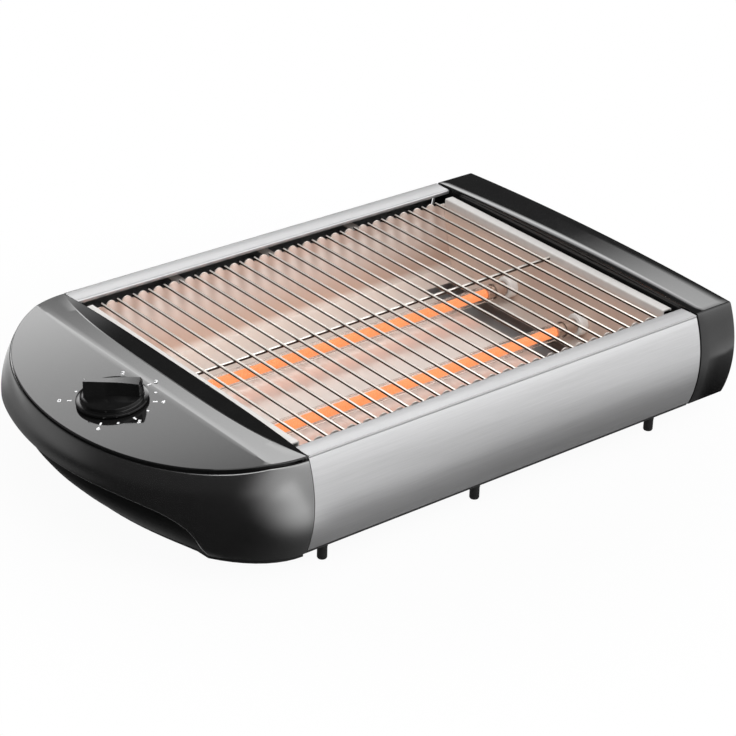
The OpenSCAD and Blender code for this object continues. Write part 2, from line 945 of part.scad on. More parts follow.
module terminal_block() {
    color([0.92, 0.9, 0.85])
    translate([x_left + block_x - block[0] / 2, block_y - block[1] / 2, z_low])
        difference() {
            cube(block);
            for (k = [1, 3])
                translate([0, block[1] * k / 4, block[2] / 2])
                    bar_x(-1, block[0] + 1, lead_d + 2 * fit);
        }
}

module cord_gland() {
    end = half_at(z_mid) - seat;
    flange_r = gland_d / 2 + 2.5;
    flange_t = 3;
    // the flange stops short of the wall's inner face, where the wall comes in most
    turn = (flange_r - gland_x - end_gap) / (rim_reach - wall);
    from = (half_at(gland_z) - wall) * sqrt(1 - turn * turn) - flange_t - seat;
    color([0.04, 0.04, 0.04])
    translate([x_left + gland_x, 0, gland_z])
        rotate([-90, 0, 0])
            difference() {
                union() {
                    translate([0, 0, from]) cylinder(d = gland_d, h = end - from);
                    translate([0, 0, from]) cylinder(r = flange_r, h = flange_t);
                }
                translate([0, 0, from - 1]) cylinder(d = gland_bore, h = end - from + 2);
            }
}

// Insulated lead along straight runs with round corners
module lead(points) {
    for (i = [0 : len(points) - 2]) {
        run = points[i + 1] - points[i];
        translate(points[i])
            rotate([0, acos(run[2] / norm(run)), atan2(run[1], run[0])])
                cylinder(d = lead_d, h = norm(run), $fn = 24);
        if (i > 0) translate(points[i]) sphere(d = lead_d, $fn = 24);
    }
}

// Outer end of the left pin of the front (s = -1) or rear (s = 1) tube
function pin_end(s) = [
    x_mid - tube_half - ferrule_len - bush_len - pin_out - seat, s * tube_pitch / 2, z_tube
];

// Lower tip of a contact blade
function blade_tip(s) =
    let (
        x = blade_x + blade_t / 2,
        z = -fascia_t - case_h - case_wall - blade_out - fit
    )
    [
        x_left - knob_in + x * cos(panel_tilt) - z * sin(panel_tilt),
        knob_y + s * blade_y,
        top_z(-knob_in) + x * sin(panel_tilt) + z * cos(panel_tilt)
    ];

// Mouth of one of the terminal block's holes, on the side towards the grill
function block_mouth(k) = [
    x_left + block_x + block[0] / 2, block_y - block[1] / 2 + block[1] * k / 4, z_low + block[2] / 2
];

module lead_neutral() {
    a = pin_end(1);
    b = block_mouth(3);
    color([0.2, 0.35, 0.7])
    lead([
        a, a - [lead_turn, 0, 0], [a[0] - lead_turn, b[1], a[2]],
        [a[0] - lead_turn, b[1], b[2]], b - [lead_turn, 0, 0]
    ]);
}

module lead_live() {
    a = blade_tip(1);
    b = block_mouth(1);
    low = b[2];
    turn_x = b[0] + 1.5 * lead_turn;
    color([0.5, 0.3, 0.15])
    lead([a, [a[0], a[1], low], [turn_x, a[1], low], [turn_x, b[1], b[2]], b - [lead_turn, 0, 0]]);
}

module lead_heater() {
    a = blade_tip(-1);
    b = pin_end(-1);
    low = z_low + lead_lift;
    color([0.6, 0.6, 0.6])
    lead([
        a, [a[0], a[1], low], [b[0] - lead_turn, b[1], low], [b[0] - lead_turn, b[1], b[2]], b
    ]);
}

// Fasteners

module base_screws() {
    color([0.6, 0.6, 0.6])
    for (b = boss_xy)
        translate([x_left + b[0], b[1], z_low - tongue_t])
            mirror([0, 0, 1]) screw(tongue_t + boss_bite);
}

module tab_screws() {
    x = x_left + tongue_len - tongue_screw_in;
    color([0.6, 0.6, 0.6])
    for (e = [0, 1], s = [-1, 1])
        mirrored_end(e)
            translate([x, s * tongue_y, z_low - tongue_t])
                mirror([0, 0, 1]) screw(tongue_t + base_t + tab_bite);
}

module wall_rivets() {
    color([0.7, 0.7, 0.7])
    for (e = [0, 1])
        mirrored_end(e)
            rivet_places() {
                translate([0, 0, -base_t - rivet_head_h])
                    cylinder(d = rivet_d, h = base_t + sheet + 2 * rivet_head_h);
                translate([0, 0, -base_t - rivet_head_h]) cylinder(d = 2 * rivet_d, h = rivet_head_h);
                translate([0, 0, sheet]) cylinder(d = 2 * rivet_d, h = rivet_head_h);
            }
}

control_panel();
control_housing();
housing_base();
end_cap();
front_panel();
rear_panel();
base_plate();
feet();
wire_rack();
reflector();
left_end_wall();
right_end_wall();
quartz_tube(-1);  // quartz_tube_front
quartz_tube(1);  // quartz_tube_rear
heating_coil(-1);  // heating_coil_front
heating_coil(1);  // heating_coil_rear
tube_ferrule(-1, 0);  // tube_ferrule_front_left
tube_ferrule(-1, 1);  // tube_ferrule_front_right
tube_ferrule(1, 0);  // tube_ferrule_rear_left
tube_ferrule(1, 1);  // tube_ferrule_rear_right
ceramic_bush(-1, 0);  // ceramic_bush_front_left
ceramic_bush(-1, 1);  // ceramic_bush_front_right
ceramic_bush(1, 0);  // ceramic_bush_rear_left
ceramic_bush(1, 1);  // ceramic_bush_rear_right
bus_bar();
crumb_tray();
tray_rail_front();
tray_rail_rear();
timer_knob();
timer_shaft();
switch_cam();
timer_case();
timer_cover();
contact_fixed();
contact_spring();
timer_screws();
terminal_block();
cord_gland();
lead_live();
lead_heater();
lead_neutral();
base_screws();
tab_screws();
wall_rivets();
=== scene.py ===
import math

import bmesh
import bpy
from mathutils import Matrix, Vector


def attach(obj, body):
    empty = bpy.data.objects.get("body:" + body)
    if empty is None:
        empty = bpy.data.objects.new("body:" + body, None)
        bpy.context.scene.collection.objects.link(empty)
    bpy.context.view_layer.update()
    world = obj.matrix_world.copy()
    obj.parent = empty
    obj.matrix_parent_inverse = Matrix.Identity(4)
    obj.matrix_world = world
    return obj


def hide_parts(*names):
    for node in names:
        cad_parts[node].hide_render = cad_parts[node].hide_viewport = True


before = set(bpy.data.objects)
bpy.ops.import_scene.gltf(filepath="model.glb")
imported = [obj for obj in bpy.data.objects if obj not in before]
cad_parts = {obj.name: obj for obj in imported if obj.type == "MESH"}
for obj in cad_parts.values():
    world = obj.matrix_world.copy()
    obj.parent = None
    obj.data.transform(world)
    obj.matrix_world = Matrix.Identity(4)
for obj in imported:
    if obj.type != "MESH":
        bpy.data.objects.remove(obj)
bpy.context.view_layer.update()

# Sizes in millimetres, the same as in the part's source
PANEL_LEN = 280.0
X_LEFT = -111.65
X_RIGHT = X_LEFT + PANEL_LEN
X_MID = X_LEFT + PANEL_LEN / 2
FOLD_HALF = 117.0
Z_BOT = 10.5
Z_LOW = 9.5
Z_FOLD = 68.5
Z_MID = (Z_BOT + Z_FOLD) / 2
PANEL_BOW = 6.3
BOW_R = ((Z_FOLD - Z_MID) ** 2 + PANEL_BOW ** 2) / (2 * PANEL_BOW)
BOW_C = FOLD_HALF + PANEL_BOW - BOW_R
SHEET = 0.8
FLANGE_W = 12.5
FLANGE_DROP = 0.2
LIP_H = 2.4
HEM_W = 14.0
END_GAP = 1.2
RIM_REACH = 78.0
BELLY_OUT = 6.5
BELLY_AT = 0.34
FOOT_TUCK = 13.5
WALL = 2.4
FASCIA_T = 2.4
CREASE_IN = 21.5
PANEL_TILT = math.radians(6.3)
SCOOP_DEPTH = 7.5
SCOOP_HALF = 49.2
CAP_REACH = 29.0
CAP_ARCH = 3.0
CAP_LIFT = 0.6
CAP_SKIRT = 8.0
ROD_D = 1.8
ROD_PITCH = 10.9
ROD_PAST = 1.2
SPINE_D = 2.2
Z_ROD = Z_FOLD - 4.5
Z_SPINE = Z_ROD - (ROD_D + SPINE_D) / 2 + 0.3
COMB_Y = 98.5
END_WALL_IN = 8.0
TUBE_Y = 32.0
Z_TUBE = Z_FOLD - 37.0
TUBE_D = 10.0
TUBE_BORE = 7.6
TUBE_HALF = 116.5
PLUG_LEN = 6.0
BUSH_LEN = 6.5
BUSH_D = 14.0
BUSH_NECK_D = 10.0
PIN_D = 3.0
TRAY_W = 160.0
TRAY_H = 6.0
Z_TRAY = Z_BOT + 1.8
TRAY_GAP = 0.6
KNOB_IN = 46.0
KNOB_Y = -4.5
KNOB_D = 39.5
KNOB_LIFT = 0.8
FIN_ANGLE = math.radians(138)
FOOT_X = (13.5, 119.5, 253.0)
FOOT_Y = FOLD_HALF - 4.4
FOOT_D = 5.6

# Counts, sizes in millimetres and angles in degrees, where the finer forms differ from the solids
ROD_COUNT = 24
SEAM = 0.4
BROW_RUN = 10.0
BROW_LEAST = 0.6
BROW_RISE = 0.3
BROW_LIP = 0.5
BROW_SKIRT = 7.0
RIM_EDGE = 0.5
GROOVE_IN = 1.3
GROOVE_SINK = 0.15
SCOOP_SHARE = 0.655
PAD_PROUD = 0.25
PAD_SUNK = 0.8
CAP_EASE = 1.0
CAP_CORNER = 1.8
FOLD_LIP = 0.3
FOLD_GROOVE = 1.4
RIM_IN = 1.6
Z_RIM = Z_FOLD - 2.2
BAR_EASE = 0.3
COIL_TURNS = 190
COIL_STEPS = 14
COIL_R = 2.65
WIRE_R = 0.45
FIN_TOP = 12.9
FIN_TIP = 14.5
FIN_TAIL = -17.6
FIN_BASE = 5.0
DRUM_IN = 2.6
DIAL_R = 23.4
FIGURE_OUT = 4.4
ZERO_OUT = 5.6
FIGURE_SIZE = 4.2
PRINT_T = 0.09
FIGURE_ANGLES = (137, 91, 45, -1, -47, -93, -139)
DOT_ANGLES = (114, 68, 22, -24, -70, -116)

ROOT = "toaster"
TIMER = "timer"

# Lobes of the studio's light: a direction, then how far along it the strength
# begins and ends to change, then the strength before and after
ROOM = ((0.5, -0.866, 0), 0.4, 0.9, 0.06, 1.36)
BANK = ((0.545, 0.839, 0), 0.9, 0.985, 0, 5.8)
REAR_GLOW = ((-0.45, 0.893, 0), 0.78, 0.98, 0, 0.36)
HIGH_SCREEN = ((0.56, -0.44, 0.7), 0.7, 0.92, 0, 1.3)
REAR_WALL = ((0.35, 0.94, 0), 0.6, 0.9, 0, 1)
FAR_FRONT = ((0.5, -0.866, 0), 0.3, 0.8, 0.03, 1.3)
FAR_REAR = ((0.35, 0.94, 0), 0.6, 0.9, 0, 0.8)

CAMERA_AT = (-0.7748, -0.9782, 0.6873)
CAMERA_HEADING, CAMERA_RISE, CAMERA_ROLL = (math.radians(a) for a in (-39.13, 27.56, 1.69))
FLOOR_HALF = 8.0


# Shapes of the body

def lerp(a, b, k):
    return a + (b - a) * k


def half_at(z):
    """Half depth of the bowed section at a height."""
    return BOW_C + math.sqrt(BOW_R ** 2 - (z - Z_MID) ** 2)


def top_z(s):
    """Height of the control panel at a distance s from the steel panels."""
    return Z_FOLD - max(0.0, s - CREASE_IN) * math.tan(PANEL_TILT)


def wall_reach(u):
    """Reach of the control end's wall at the nose, from rim (0) to foot (1)."""
    k = (-FOOT_TUCK - BELLY_OUT / BELLY_AT) / (1 - BELLY_AT)
    return RIM_REACH + (-FOOT_TUCK - k) * u + k * u * u


def seam_at(t):
    """Gap between the control end and the steel panels, closed up near the folds."""
    return lerp(END_GAP, SEAM, abs(math.sin(t)) ** 6)


def scoop_edge(t):
    """Upper edge of the finger scoop as a share of the wall's height."""
    s = min(1.0, abs(t) / SCOOP_HALF)
    return min(0.97, 1 - SCOOP_SHARE * (1 - s ** 3.5) ** 0.28)


def scoop_in(t):
    """Depth of the finger scoop at an angle in degrees."""
    s = min(1.0, abs(t) / SCOOP_HALF)
    return SCOOP_DEPTH * math.sqrt(1 - s ** 4)


# Mesh helpers

def loft(rings, closed=True):
    """Points and faces of a skin over rings of equal length, capped if they are closed."""
    n = len(rings[0])
    points = [p for ring in rings for p in ring]
    faces = []
    for i in range(len(rings) - 1):
        for j in range(n if closed else n - 1):
            k = (j + 1) % n
            faces.append((i * n + j, i * n + k, (i + 1) * n + k, (i + 1) * n + j))
    if closed:
        faces.append(tuple(range(n))[::-1])
        faces.append(tuple(range((len(rings) - 1) * n, len(rings) * n)))
    return points, faces


def revolve(profile, steps=64):
    """Points and faces of a profile of (radius, height) turned about Z."""
    rings = []
    for i in range(steps):
        a = 2 * math.pi * i / steps
        rings.append([(r * math.cos(a), r * math.sin(a), z) for r, z in profile])
    return loft(rings + rings[:1], closed=False)


def rounded(corners, steps=6):
    """Path through (a, b, radius) corners, each turned into an arc of that radius."""
    path = []
    for i, (a, b, r) in enumerate(corners):
        here = Vector((a, b))
        if r <= 0 or i in (0, len(corners) - 1):
            path.append((a, b))
            continue
        to_prev = Vector(corners[i - 1][:2]) - here
        to_next = Vector(corners[i + 1][:2]) - here
        half = to_prev.angle(to_next) / 2
        cut = min(r / math.tan(half), 0.48 * to_prev.length, 0.48 * to_next.length)
        r = cut * math.tan(half)
        inward = (to_prev.normalized() + to_next.normalized()).normalized()
        mid = here + inward * (r / math.sin(half))
        start = here + to_prev.normalized() * cut - mid
        turn = math.pi - 2 * half
        if to_prev.cross(to_next) > 0:
            turn = -turn
        for k in range(steps + 1):
            c, s = math.cos(turn * k / steps), math.sin(turn * k / steps)
            path.append((mid.x + start.x * c - start.y * s, mid.y + start.x * s + start.y * c))
    return path


def sheet_loop(path):
    """Closed outline of a folded sheet, its thickness on one side of the path."""
    inner = []
    for i, (a, b) in enumerate(path):
        before = Vector(path[max(i - 1, 0)])
        after = Vector(path[min(i + 1, len(path) - 1)])
        along = (after - before).normalized()
        inner.append((a + along.y * SHEET, b - along.x * SHEET))
    return path + inner[::-1]


def box_shape(lo, hi):
    (x0, y0, z0), (x1, y1, z1) = lo, hi
    points = [(x, y, z) for x in (x0, x1) for y in (y0, y1) for z in (z0, z1)]
    faces = [(0, 1, 3, 2), (4, 6, 7, 5), (0, 4, 5, 1), (2, 3, 7, 6), (0, 2, 6, 4), (1, 5, 7, 3)]
    return points, faces


def bar_shape(length, d):
    r, end = d / 2, length / 2
    return revolve([(0, -end), (r - BAR_EASE, -end), (r, -end + BAR_EASE),
                    (r, end - BAR_EASE), (r - BAR_EASE, end), (0, end)], 16)


def join_shapes(*shapes):
    points, faces = [], []
    for p, f in shapes:
        faces += [tuple(k + len(points) for k in face) for face in f]
        points += list(p)
    return points, faces


def moved(shape, matrix):
    return [tuple(matrix @ Vector(p)) for p in shape[0]], shape[1]


def make_mesh(name, points, faces):
    """Mesh in metres from a shape in millimetres, with its faces turned outwards."""
    mesh = bpy.data.meshes.new(name)
    mesh.from_pydata([(p[0] / 1000, p[1] / 1000, p[2] / 1000) for p in points], [], faces)
    bm = bmesh.new()
    bm.from_mesh(mesh)
    bmesh.ops.remove_doubles(bm, verts=bm.verts, dist=2e-6)
    bmesh.ops.recalc_face_normals(bm, faces=bm.faces)
    bm.to_mesh(mesh)
    bm.free()
    return mesh


def soften(mesh, angle=32):
    """Smooth shading, with edges sharper than the angle left crisp."""
    for face in mesh.polygons:
        face.use_smooth = True
    mesh.set_sharp_from_angle(angle=math.radians(angle))


def add_object(name, data):
    obj = bpy.data.objects.new(name, data)
    bpy.context.scene.collection.objects.link(obj)
    return obj


def final_mesh(obj):
    """The mesh that an object shows, with its modifiers applied."""
    graph = bpy.context.evaluated_depsgraph_get()
    return bpy.data.meshes.new_from_object(obj.evaluated_get(graph))


def settle(obj):
    """Turns an object with modifiers into a plain mesh."""
    mesh = final_mesh(obj)
    obj.modifiers.clear()
    obj.data = mesh
    return obj


def finish_piece(obj, material, nodes=(), body=ROOT):
    if material is not None:
        obj.data.materials.clear()
        obj.data.materials.append(material)
    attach(obj, body)
    if nodes:
        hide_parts(*nodes)
    return obj


def make_piece(name, shape, material, nodes=(), body=ROOT, angle=32):
    mesh = make_mesh(name, *shape)
    soften(mesh, angle)
    return finish_piece(add_object(name, mesh), material, nodes, body)


# Node trees

class Graph:
    """The nodes and links of one tree, with short calls for what repeats."""

    def __init__(self, tree):
        self.nodes, self.links = tree.nodes, tree.links

    def give(self, socket, value):
        """Links another node's output to a socket, or sets its constant."""
        if isinstance(value, bpy.types.NodeSocket):
            self.links.new(value, socket)
        else:
            socket.default_value = value

    def fill(self, sockets, values):
        for key, value in values.items():
            self.give(sockets[key], value)

    def add(self, kind, inputs=None, **settings):
        node = self.nodes.new(kind)
        for key, value in settings.items():
            setattr(node, key, value)
        self.fill(node.inputs, inputs or {})
        return node

    def place(self):
        return self.add("ShaderNodeTexCoord").outputs["Object"]

    def axes(self, vector):
        return self.add("ShaderNodeSeparateXYZ", {0: vector}).outputs

    def calc(self, operation, *values):
        node = self.add("ShaderNodeMath", dict(enumerate(values)), operation=operation)
        return node.outputs[0]

    def total(self, first, *others):
        for value in others:
            first = self.calc("ADD", first, value)
        return first

    def product(self, first, *others):
        for value in others:
            first = self.calc("MULTIPLY", first, value)
        return first

    def vector(self, operation, *values):
        node = self.add("ShaderNodeVectorMath", dict(enumerate(values)), operation=operation)
        return node.outputs["Value" if operation in ("LENGTH", "DOT_PRODUCT") else "Vector"]

    def blend(self, factor, a, b):
        return self.add("ShaderNodeMix", {"Factor": factor, "A": a, "B": b}).outputs["Result"]

    def blend_colour(self, factor, a, b):
        node = self.add("ShaderNodeMix", {"Factor": factor, 6: a, 7: b}, data_type="RGBA")
        return node.outputs[2]

    def ramp(self, source, start, end, before, after):
        """A value that changes smoothly while the source goes from start to end."""
        values = {"Value": source, "From Min": start, "From Max": end,
                  "To Min": before, "To Max": after}
        node = self.add("ShaderNodeMapRange", values, interpolation_type="SMOOTHSTEP")
        return node.outputs["Result"]

    def lobe(self, way, direction, start, end, before, after):
        """A ramp over how far a vector points along a direction."""
        along = self.vector("DOT_PRODUCT", way, direction)
        return self.ramp(along, start, end, before, after)


def new_group(name, kind, inputs, outputs):
    """A node group with named sockets, its graph, and its inner ends."""
    tree = bpy.data.node_groups.new(name, kind)
    for side, sockets in (("INPUT", inputs), ("OUTPUT", outputs)):
        for socket, sort in sockets.items():
            tree.interface.new_socket(socket, in_out=side, socket_type="NodeSocket" + sort)
    graph = Graph(tree)
    return tree, graph, graph.add("NodeGroupInput").outputs, graph.add("NodeGroupOutput").inputs


# Materials

def grain_group():
    """Fine streaks or speckle: noise on Object coordinates, stretched per axis."""
    tree, graph, gin, gout = new_group(
        "Drawn grain", "ShaderNodeTree",
        {"Stretch": "Vector", "Low": "Float", "High": "Float", "Dark": "Color", "Light": "Color"},
        {"Colour": "Color", "Roughness": "Float", "Height": "Float"})
    place = graph.vector("MULTIPLY", graph.place(), gin["Stretch"])
    fine = graph.add("ShaderNodeTexNoise",
                     {"Vector": place, "Scale": 1.0, "Detail": 5.0, "Roughness": 0.65})
    wide = graph.add("ShaderNodeVectorMath", {0: place, "Scale": 0.17}, operation="SCALE")
    broad = graph.add("ShaderNodeTexNoise",
                      {"Vector": wide.outputs[0], "Scale": 1.0, "Detail": 3.0})
    both = graph.blend(0.4, fine.outputs["Fac"], broad.outputs["Fac"])
    level = graph.add("ShaderNodeMapRange",
                      {"Value": both, "From Min": 0.3, "From Max": 0.7}).outputs["Result"]
    rough = graph.add("ShaderNodeMapRange",
                      {"Value": level, "To Min": gin["Low"], "To Max": gin["High"]})
    graph.fill(gout, {"Colour": graph.blend_colour(level, gin["Dark"], gin["Light"]),
                      "Roughness": rough.outputs["Result"], "Height": level})
    return tree


def height_tint_group():
    """Painted light and shade: one colour low on the piece, another high up, on Object
    coordinates.
    """
    tree, graph, gin, gout = new_group(
        "Painted light by height", "ShaderNodeTree",
        {"Upper": "Color", "Lower": "Color", "From": "Float", "To": "Float"}, {"Colour": "Color"})
    rise = graph.ramp(graph.axes(graph.place())["Z"], gin["From"], gin["To"], 0, 1)
    graph.give(gout["Colour"], graph.blend_colour(rise, gin["Lower"], gin["Upper"]))
    return tree


GRAIN = grain_group()
PAINTED_HEIGHT_LIGHT = height_tint_group()


def new_material(name):
    mat = bpy.data.materials.new(name)
    mat.use_nodes = True
    return mat, Graph(mat.node_tree), mat.node_tree.nodes["Principled BSDF"]


def add_grain(graph, dark, light, low, high, stretch):
    values = {"Stretch": stretch, "Low": low, "High": high,
              "Dark": (*dark, 1), "Light": (*light, 1)}
    return graph.add("ShaderNodeGroup", values, node_tree=GRAIN).outputs


def grained(name, dark, light, low, high, stretch, bump, metallic=0.0, ior=1.5):
    """Material whose colour, roughness (low to high) and bump follow the grain group."""
    mat, graph, shader = new_material(name)
    grain = add_grain(graph, dark, light, low, high, stretch)
    relief = graph.add("ShaderNodeBump",
                       {"Strength": bump, "Distance": 0.0001, "Height": grain["Height"]})
    graph.fill(shader.inputs, {
        "Base Color": grain["Colour"], "Roughness": grain["Roughness"], "Metallic": metallic,
        "IOR": ior, "Normal": relief.outputs["Normal"]})
    return mat


def base_colour(mat):
    """A material's graph, its colour socket, and what feeds that socket so far."""
    base = mat.node_tree.nodes["Principled BSDF"].inputs["Base Color"]
    return Graph(mat.node_tree), base, base.links[0].from_socket


def tint_low(mat, lower, start, end):
    """Paints light and shade into the material's colour below a height in millimetres."""
    graph, base, source = base_colour(mat)
    values = {"Upper": source, "Lower": (*lower, 1), "From": start / 1000, "To": end / 1000}
    tint = graph.add("ShaderNodeGroup", values, node_tree=PAINTED_HEIGHT_LIGHT)
    graph.give(base, tint.outputs["Colour"])


def tint_underside(mat, lower):
    """Paints shade into the material's colour where the surface doesn't face up."""
    graph, base, source = base_colour(mat)
    normal = graph.add("ShaderNodeNewGeometry").outputs["Normal"]
    facing_up = graph.ramp(graph.axes(normal)["Z"], 0.45, 0.75, 0, 1)
    graph.give(base, graph.blend_colour(facing_up, (*lower, 1), source))


def flute(mat, pitch, middle, shade, start, end):
    """Paints the shade of upright flutes into the colour, one to each pitch along X, above a
    height in millimetres.
    """
    graph, base, source = base_colour(mat)
    place = graph.place()
    wave = graph.add("ShaderNodeTexWave", {
        "Vector": place, "Scale": math.pi / 10 / (pitch / 1000),
        "Phase Offset": -2 * math.pi * middle / pitch})
    rise = graph.ramp(graph.axes(place)["Z"], start / 1000, end / 1000, 0, 0.75)
    amount = graph.product(wave.outputs["Fac"], rise)
    graph.give(base, graph.blend_colour(amount, source, (*shade, 1)))


def grey(v):
    return (v, v, v * 1.01)


def glowing_wire():
    """Heating wire: orange light that dims a little along its length in soft patches."""
    mat, graph, shader = new_material("Glowing wire")
    grain = add_grain(graph, (0.84, 0.25, 0.09), (0.92, 0.36, 0.15), 0.4, 0.5, (60, 200, 200))
    graph.fill(shader.inputs, {
        "Base Color": (0.3, 0.08, 0.03, 1), "Roughness": grain["Roughness"],
        "Emission Color": grain["Colour"], "Emission Strength": 1.0})
    return mat


def quartz():
    mat, graph, shader = new_material("Quartz glass")
    grain = add_grain(graph, (0.97, 0.93, 0.9), (1.0, 0.97, 0.95), 0.12, 0.22, (40, 500, 500))
    graph.fill(shader.inputs, {
        "Base Color": grain["Colour"], "Roughness": grain["Roughness"],
        "Transmission Weight": 1.0, "IOR": 1.08})
    return mat


GLOSS_BLACK = grained("Gloss black plastic", grey(0.006), grey(0.009), 0.05, 0.08,
                      (700, 700, 700), 0.01)
SATIN_BLACK = grained("Satin black plastic", grey(0.004), grey(0.006), 0.2, 0.26,
                      (1200, 1200, 1200), 0.02, ior=2.6)
KNOB_BLACK = grained("Knob black plastic", grey(0.004), grey(0.006), 0.1, 0.14,
                     (1500, 1500, 1500), 0.02)
MATTE_BLACK = grained("Moulded black plastic", grey(0.007), grey(0.012), 0.45, 0.6,
                      (2200, 2200, 2200), 0.2)
# painted shade: a dark, weakly reflecting sheet laid in the finger scoop to darken the recess
SCOOP_SHADE_BLACK = grained("Scoop shade pad", grey(0.004), grey(0.007), 0.5, 0.62,
                    (2200, 2200, 2200), 0.1, ior=1.22)
PANEL_STEEL = grained("Brushed panel steel", grey(0.4), grey(0.48), 0.28, 0.36,
                      (40, 1500, 1500), 0.1, metallic=0.75)
# painted shade: the steel turns near black along the panels' bottom edge, below 11.6 mm
tint_low(PANEL_STEEL, grey(0.008), 11.6, 11.9)
BASE_PAINT = grained("Black base paint", grey(0.015), grey(0.03), 0.4, 0.55,
                     (900, 900, 900), 0.15)
ROD_CHROME = grained("Bright rod steel", (0.88, 0.82, 0.75), (0.96, 0.91, 0.85), 0.14, 0.22,
                     (900, 60, 900), 0.05, metallic=0.35)
# painted shade: the rods' undersides are darkened to near black-brown
tint_underside(ROD_CHROME, (0.04, 0.02, 0.013))
# pale steel, tinted pink as painted warm glow from the heaters
REFLECTOR = grained("Reflector sheet", (0.82, 0.74, 0.69), (0.88, 0.81, 0.76), 0.4, 0.5,
                    (300, 300, 300), 0.06, metallic=0.55)
# painted shade, warmed as by the heaters' glow, darkens the reflector from 54 mm down to 28 mm;
# below 23.5 mm the floor is pale again
tint_low(REFLECTOR, (0.64, 0.49, 0.41), 28, 54)
tint_low(REFLECTOR, (0.8, 0.73, 0.68), 23.5, 28)
# painted shade: darker upright flutes under the comb, lighter between them
flute(REFLECTOR, ROD_PITCH, X_MID, (0.55, 0.44, 0.38), 34, 58)
END_SHEET = grained("Matt end sheet", (0.64, 0.62, 0.6), (0.72, 0.7, 0.68), 0.5, 0.6,
                    (300, 300, 300), 0.06, metallic=0.15)
# painted warm glow from the heaters on the lower part of the end walls, below 54 mm
tint_low(END_SHEET, (0.8, 0.64, 0.55), 54, 65)
TRAY_STEEL = grained("Tray sheet", grey(0.54), grey(0.66), 0.3, 0.42,
                     (900, 30, 900), 0.1, metallic=0.75)
FERRULE = grained("Heat-tinted ferrule", (0.5, 0.37, 0.3), (0.66, 0.52, 0.44), 0.28, 0.42,
                  (60, 900, 900), 0.1, metallic=0.6)
CERAMIC = grained("White ceramic", (0.86, 0.83, 0.8), (0.93, 0.91, 0.88), 0.45, 0.6,
                  (1800, 1800, 1800), 0.15)
BRASS = grained("Contact brass", (0.55, 0.4, 0.14), (0.68, 0.5, 0.2), 0.25, 0.38,
                (900, 900, 60), 0.08, metallic=1.0)
CREAM = grained("Timer case plastic", (0.56, 0.53, 0.46), (0.64, 0.61, 0.54), 0.4, 0.52,
                (1600, 1600, 1600), 0.12)
ZINC = grained("Zinc steel", grey(0.48), grey(0.62), 0.3, 0.42,
               (1200, 1200, 1200), 0.1, metallic=1.0)
BROWN_LEAD = grained("Brown insulation", (0.11, 0.05, 0.02), (0.15, 0.07, 0.03), 0.4, 0.5,
                     (1500, 1500, 1500), 0.08)
GREY_LEAD = grained("Grey insulation", grey(0.24), grey(0.3), 0.4, 0.5,
                    (1500, 1500, 1500), 0.08)
BLUE_LEAD = grained("Blue insulation", (0.03, 0.07, 0.24), (0.05, 0.1, 0.3), 0.4, 0.5,
                    (1500, 1500, 1500), 0.08)
PRINT = grained("White dial print", grey(0.88), grey(0.94), 0.4, 0.5,
                (3000, 3000, 3000), 0.05)
GLOW = glowing_wire()
QUARTZ = quartz()

# Finishes of the nodes that show as they are
PLAIN_NODES = (
    (MATTE_BLACK, ("housing_base", "cord_gland")),
    (BASE_PAINT, ("base_plate",)),
    (REFLECTOR, ("reflector",)),
    (TRAY_STEEL, ("crumb_tray", "tray_rail_front", "tray_rail_rear")),
    (QUARTZ, ("quartz_tube_front", "quartz_tube_rear")),
    (BRASS, ("bus_bar", "contact_fixed", "contact_spring")),
    (CREAM, ("timer_case", "timer_cover", "switch_cam", "terminal_block")),
    (ZINC, ("timer_shaft", "timer_screws", "base_screws", "tab_screws", "wall_rivets")),
    (BROWN_LEAD, ("lead_live",)),
    (GREY_LEAD, ("lead_heater",)),
    (BLUE_LEAD, ("lead_neutral",)),
)


# Geometry Nodes

def end_tree(graph, geometry, gin, gout):
    """Makes copies real and sets their material, as the last steps of a tree."""
    real = graph.add("GeometryNodeRealizeInstances", {"Geometry": geometry})
    paint = graph.add("GeometryNodeSetMaterial",
                      {"Geometry": real.outputs["Geometry"], "Material": gin["Finish"]})
    graph.give(gout["Geometry"], paint.outputs["Geometry"])


def copies_tree():
    """One copy of an object at each point, turned by the point's own angles."""
    tree, graph, gin, gout = new_group(
        "Placed copies", "GeometryNodeTree",
        {"Geometry": "Geometry", "Copied object": "Object", "Finish": "Material"},
        {"Geometry": "Geometry"})
    source = graph.add("GeometryNodeObjectInfo", {"Object": gin["Copied object"]})
    turn = graph.add("GeometryNodeInputNamedAttribute", {"Name": "turn"},
                     data_type="FLOAT_VECTOR")
    angles = graph.add("FunctionNodeEulerToRotation", {"Euler": turn.outputs["Attribute"]})
    copy = graph.add("GeometryNodeInstanceOnPoints", {
        "Points": gin["Geometry"], "Instance": source.outputs["Geometry"],
        "Rotation": angles.outputs["Rotation"]})
    end_tree(graph, copy.outputs["Instances"], gin, gout)
    return tree


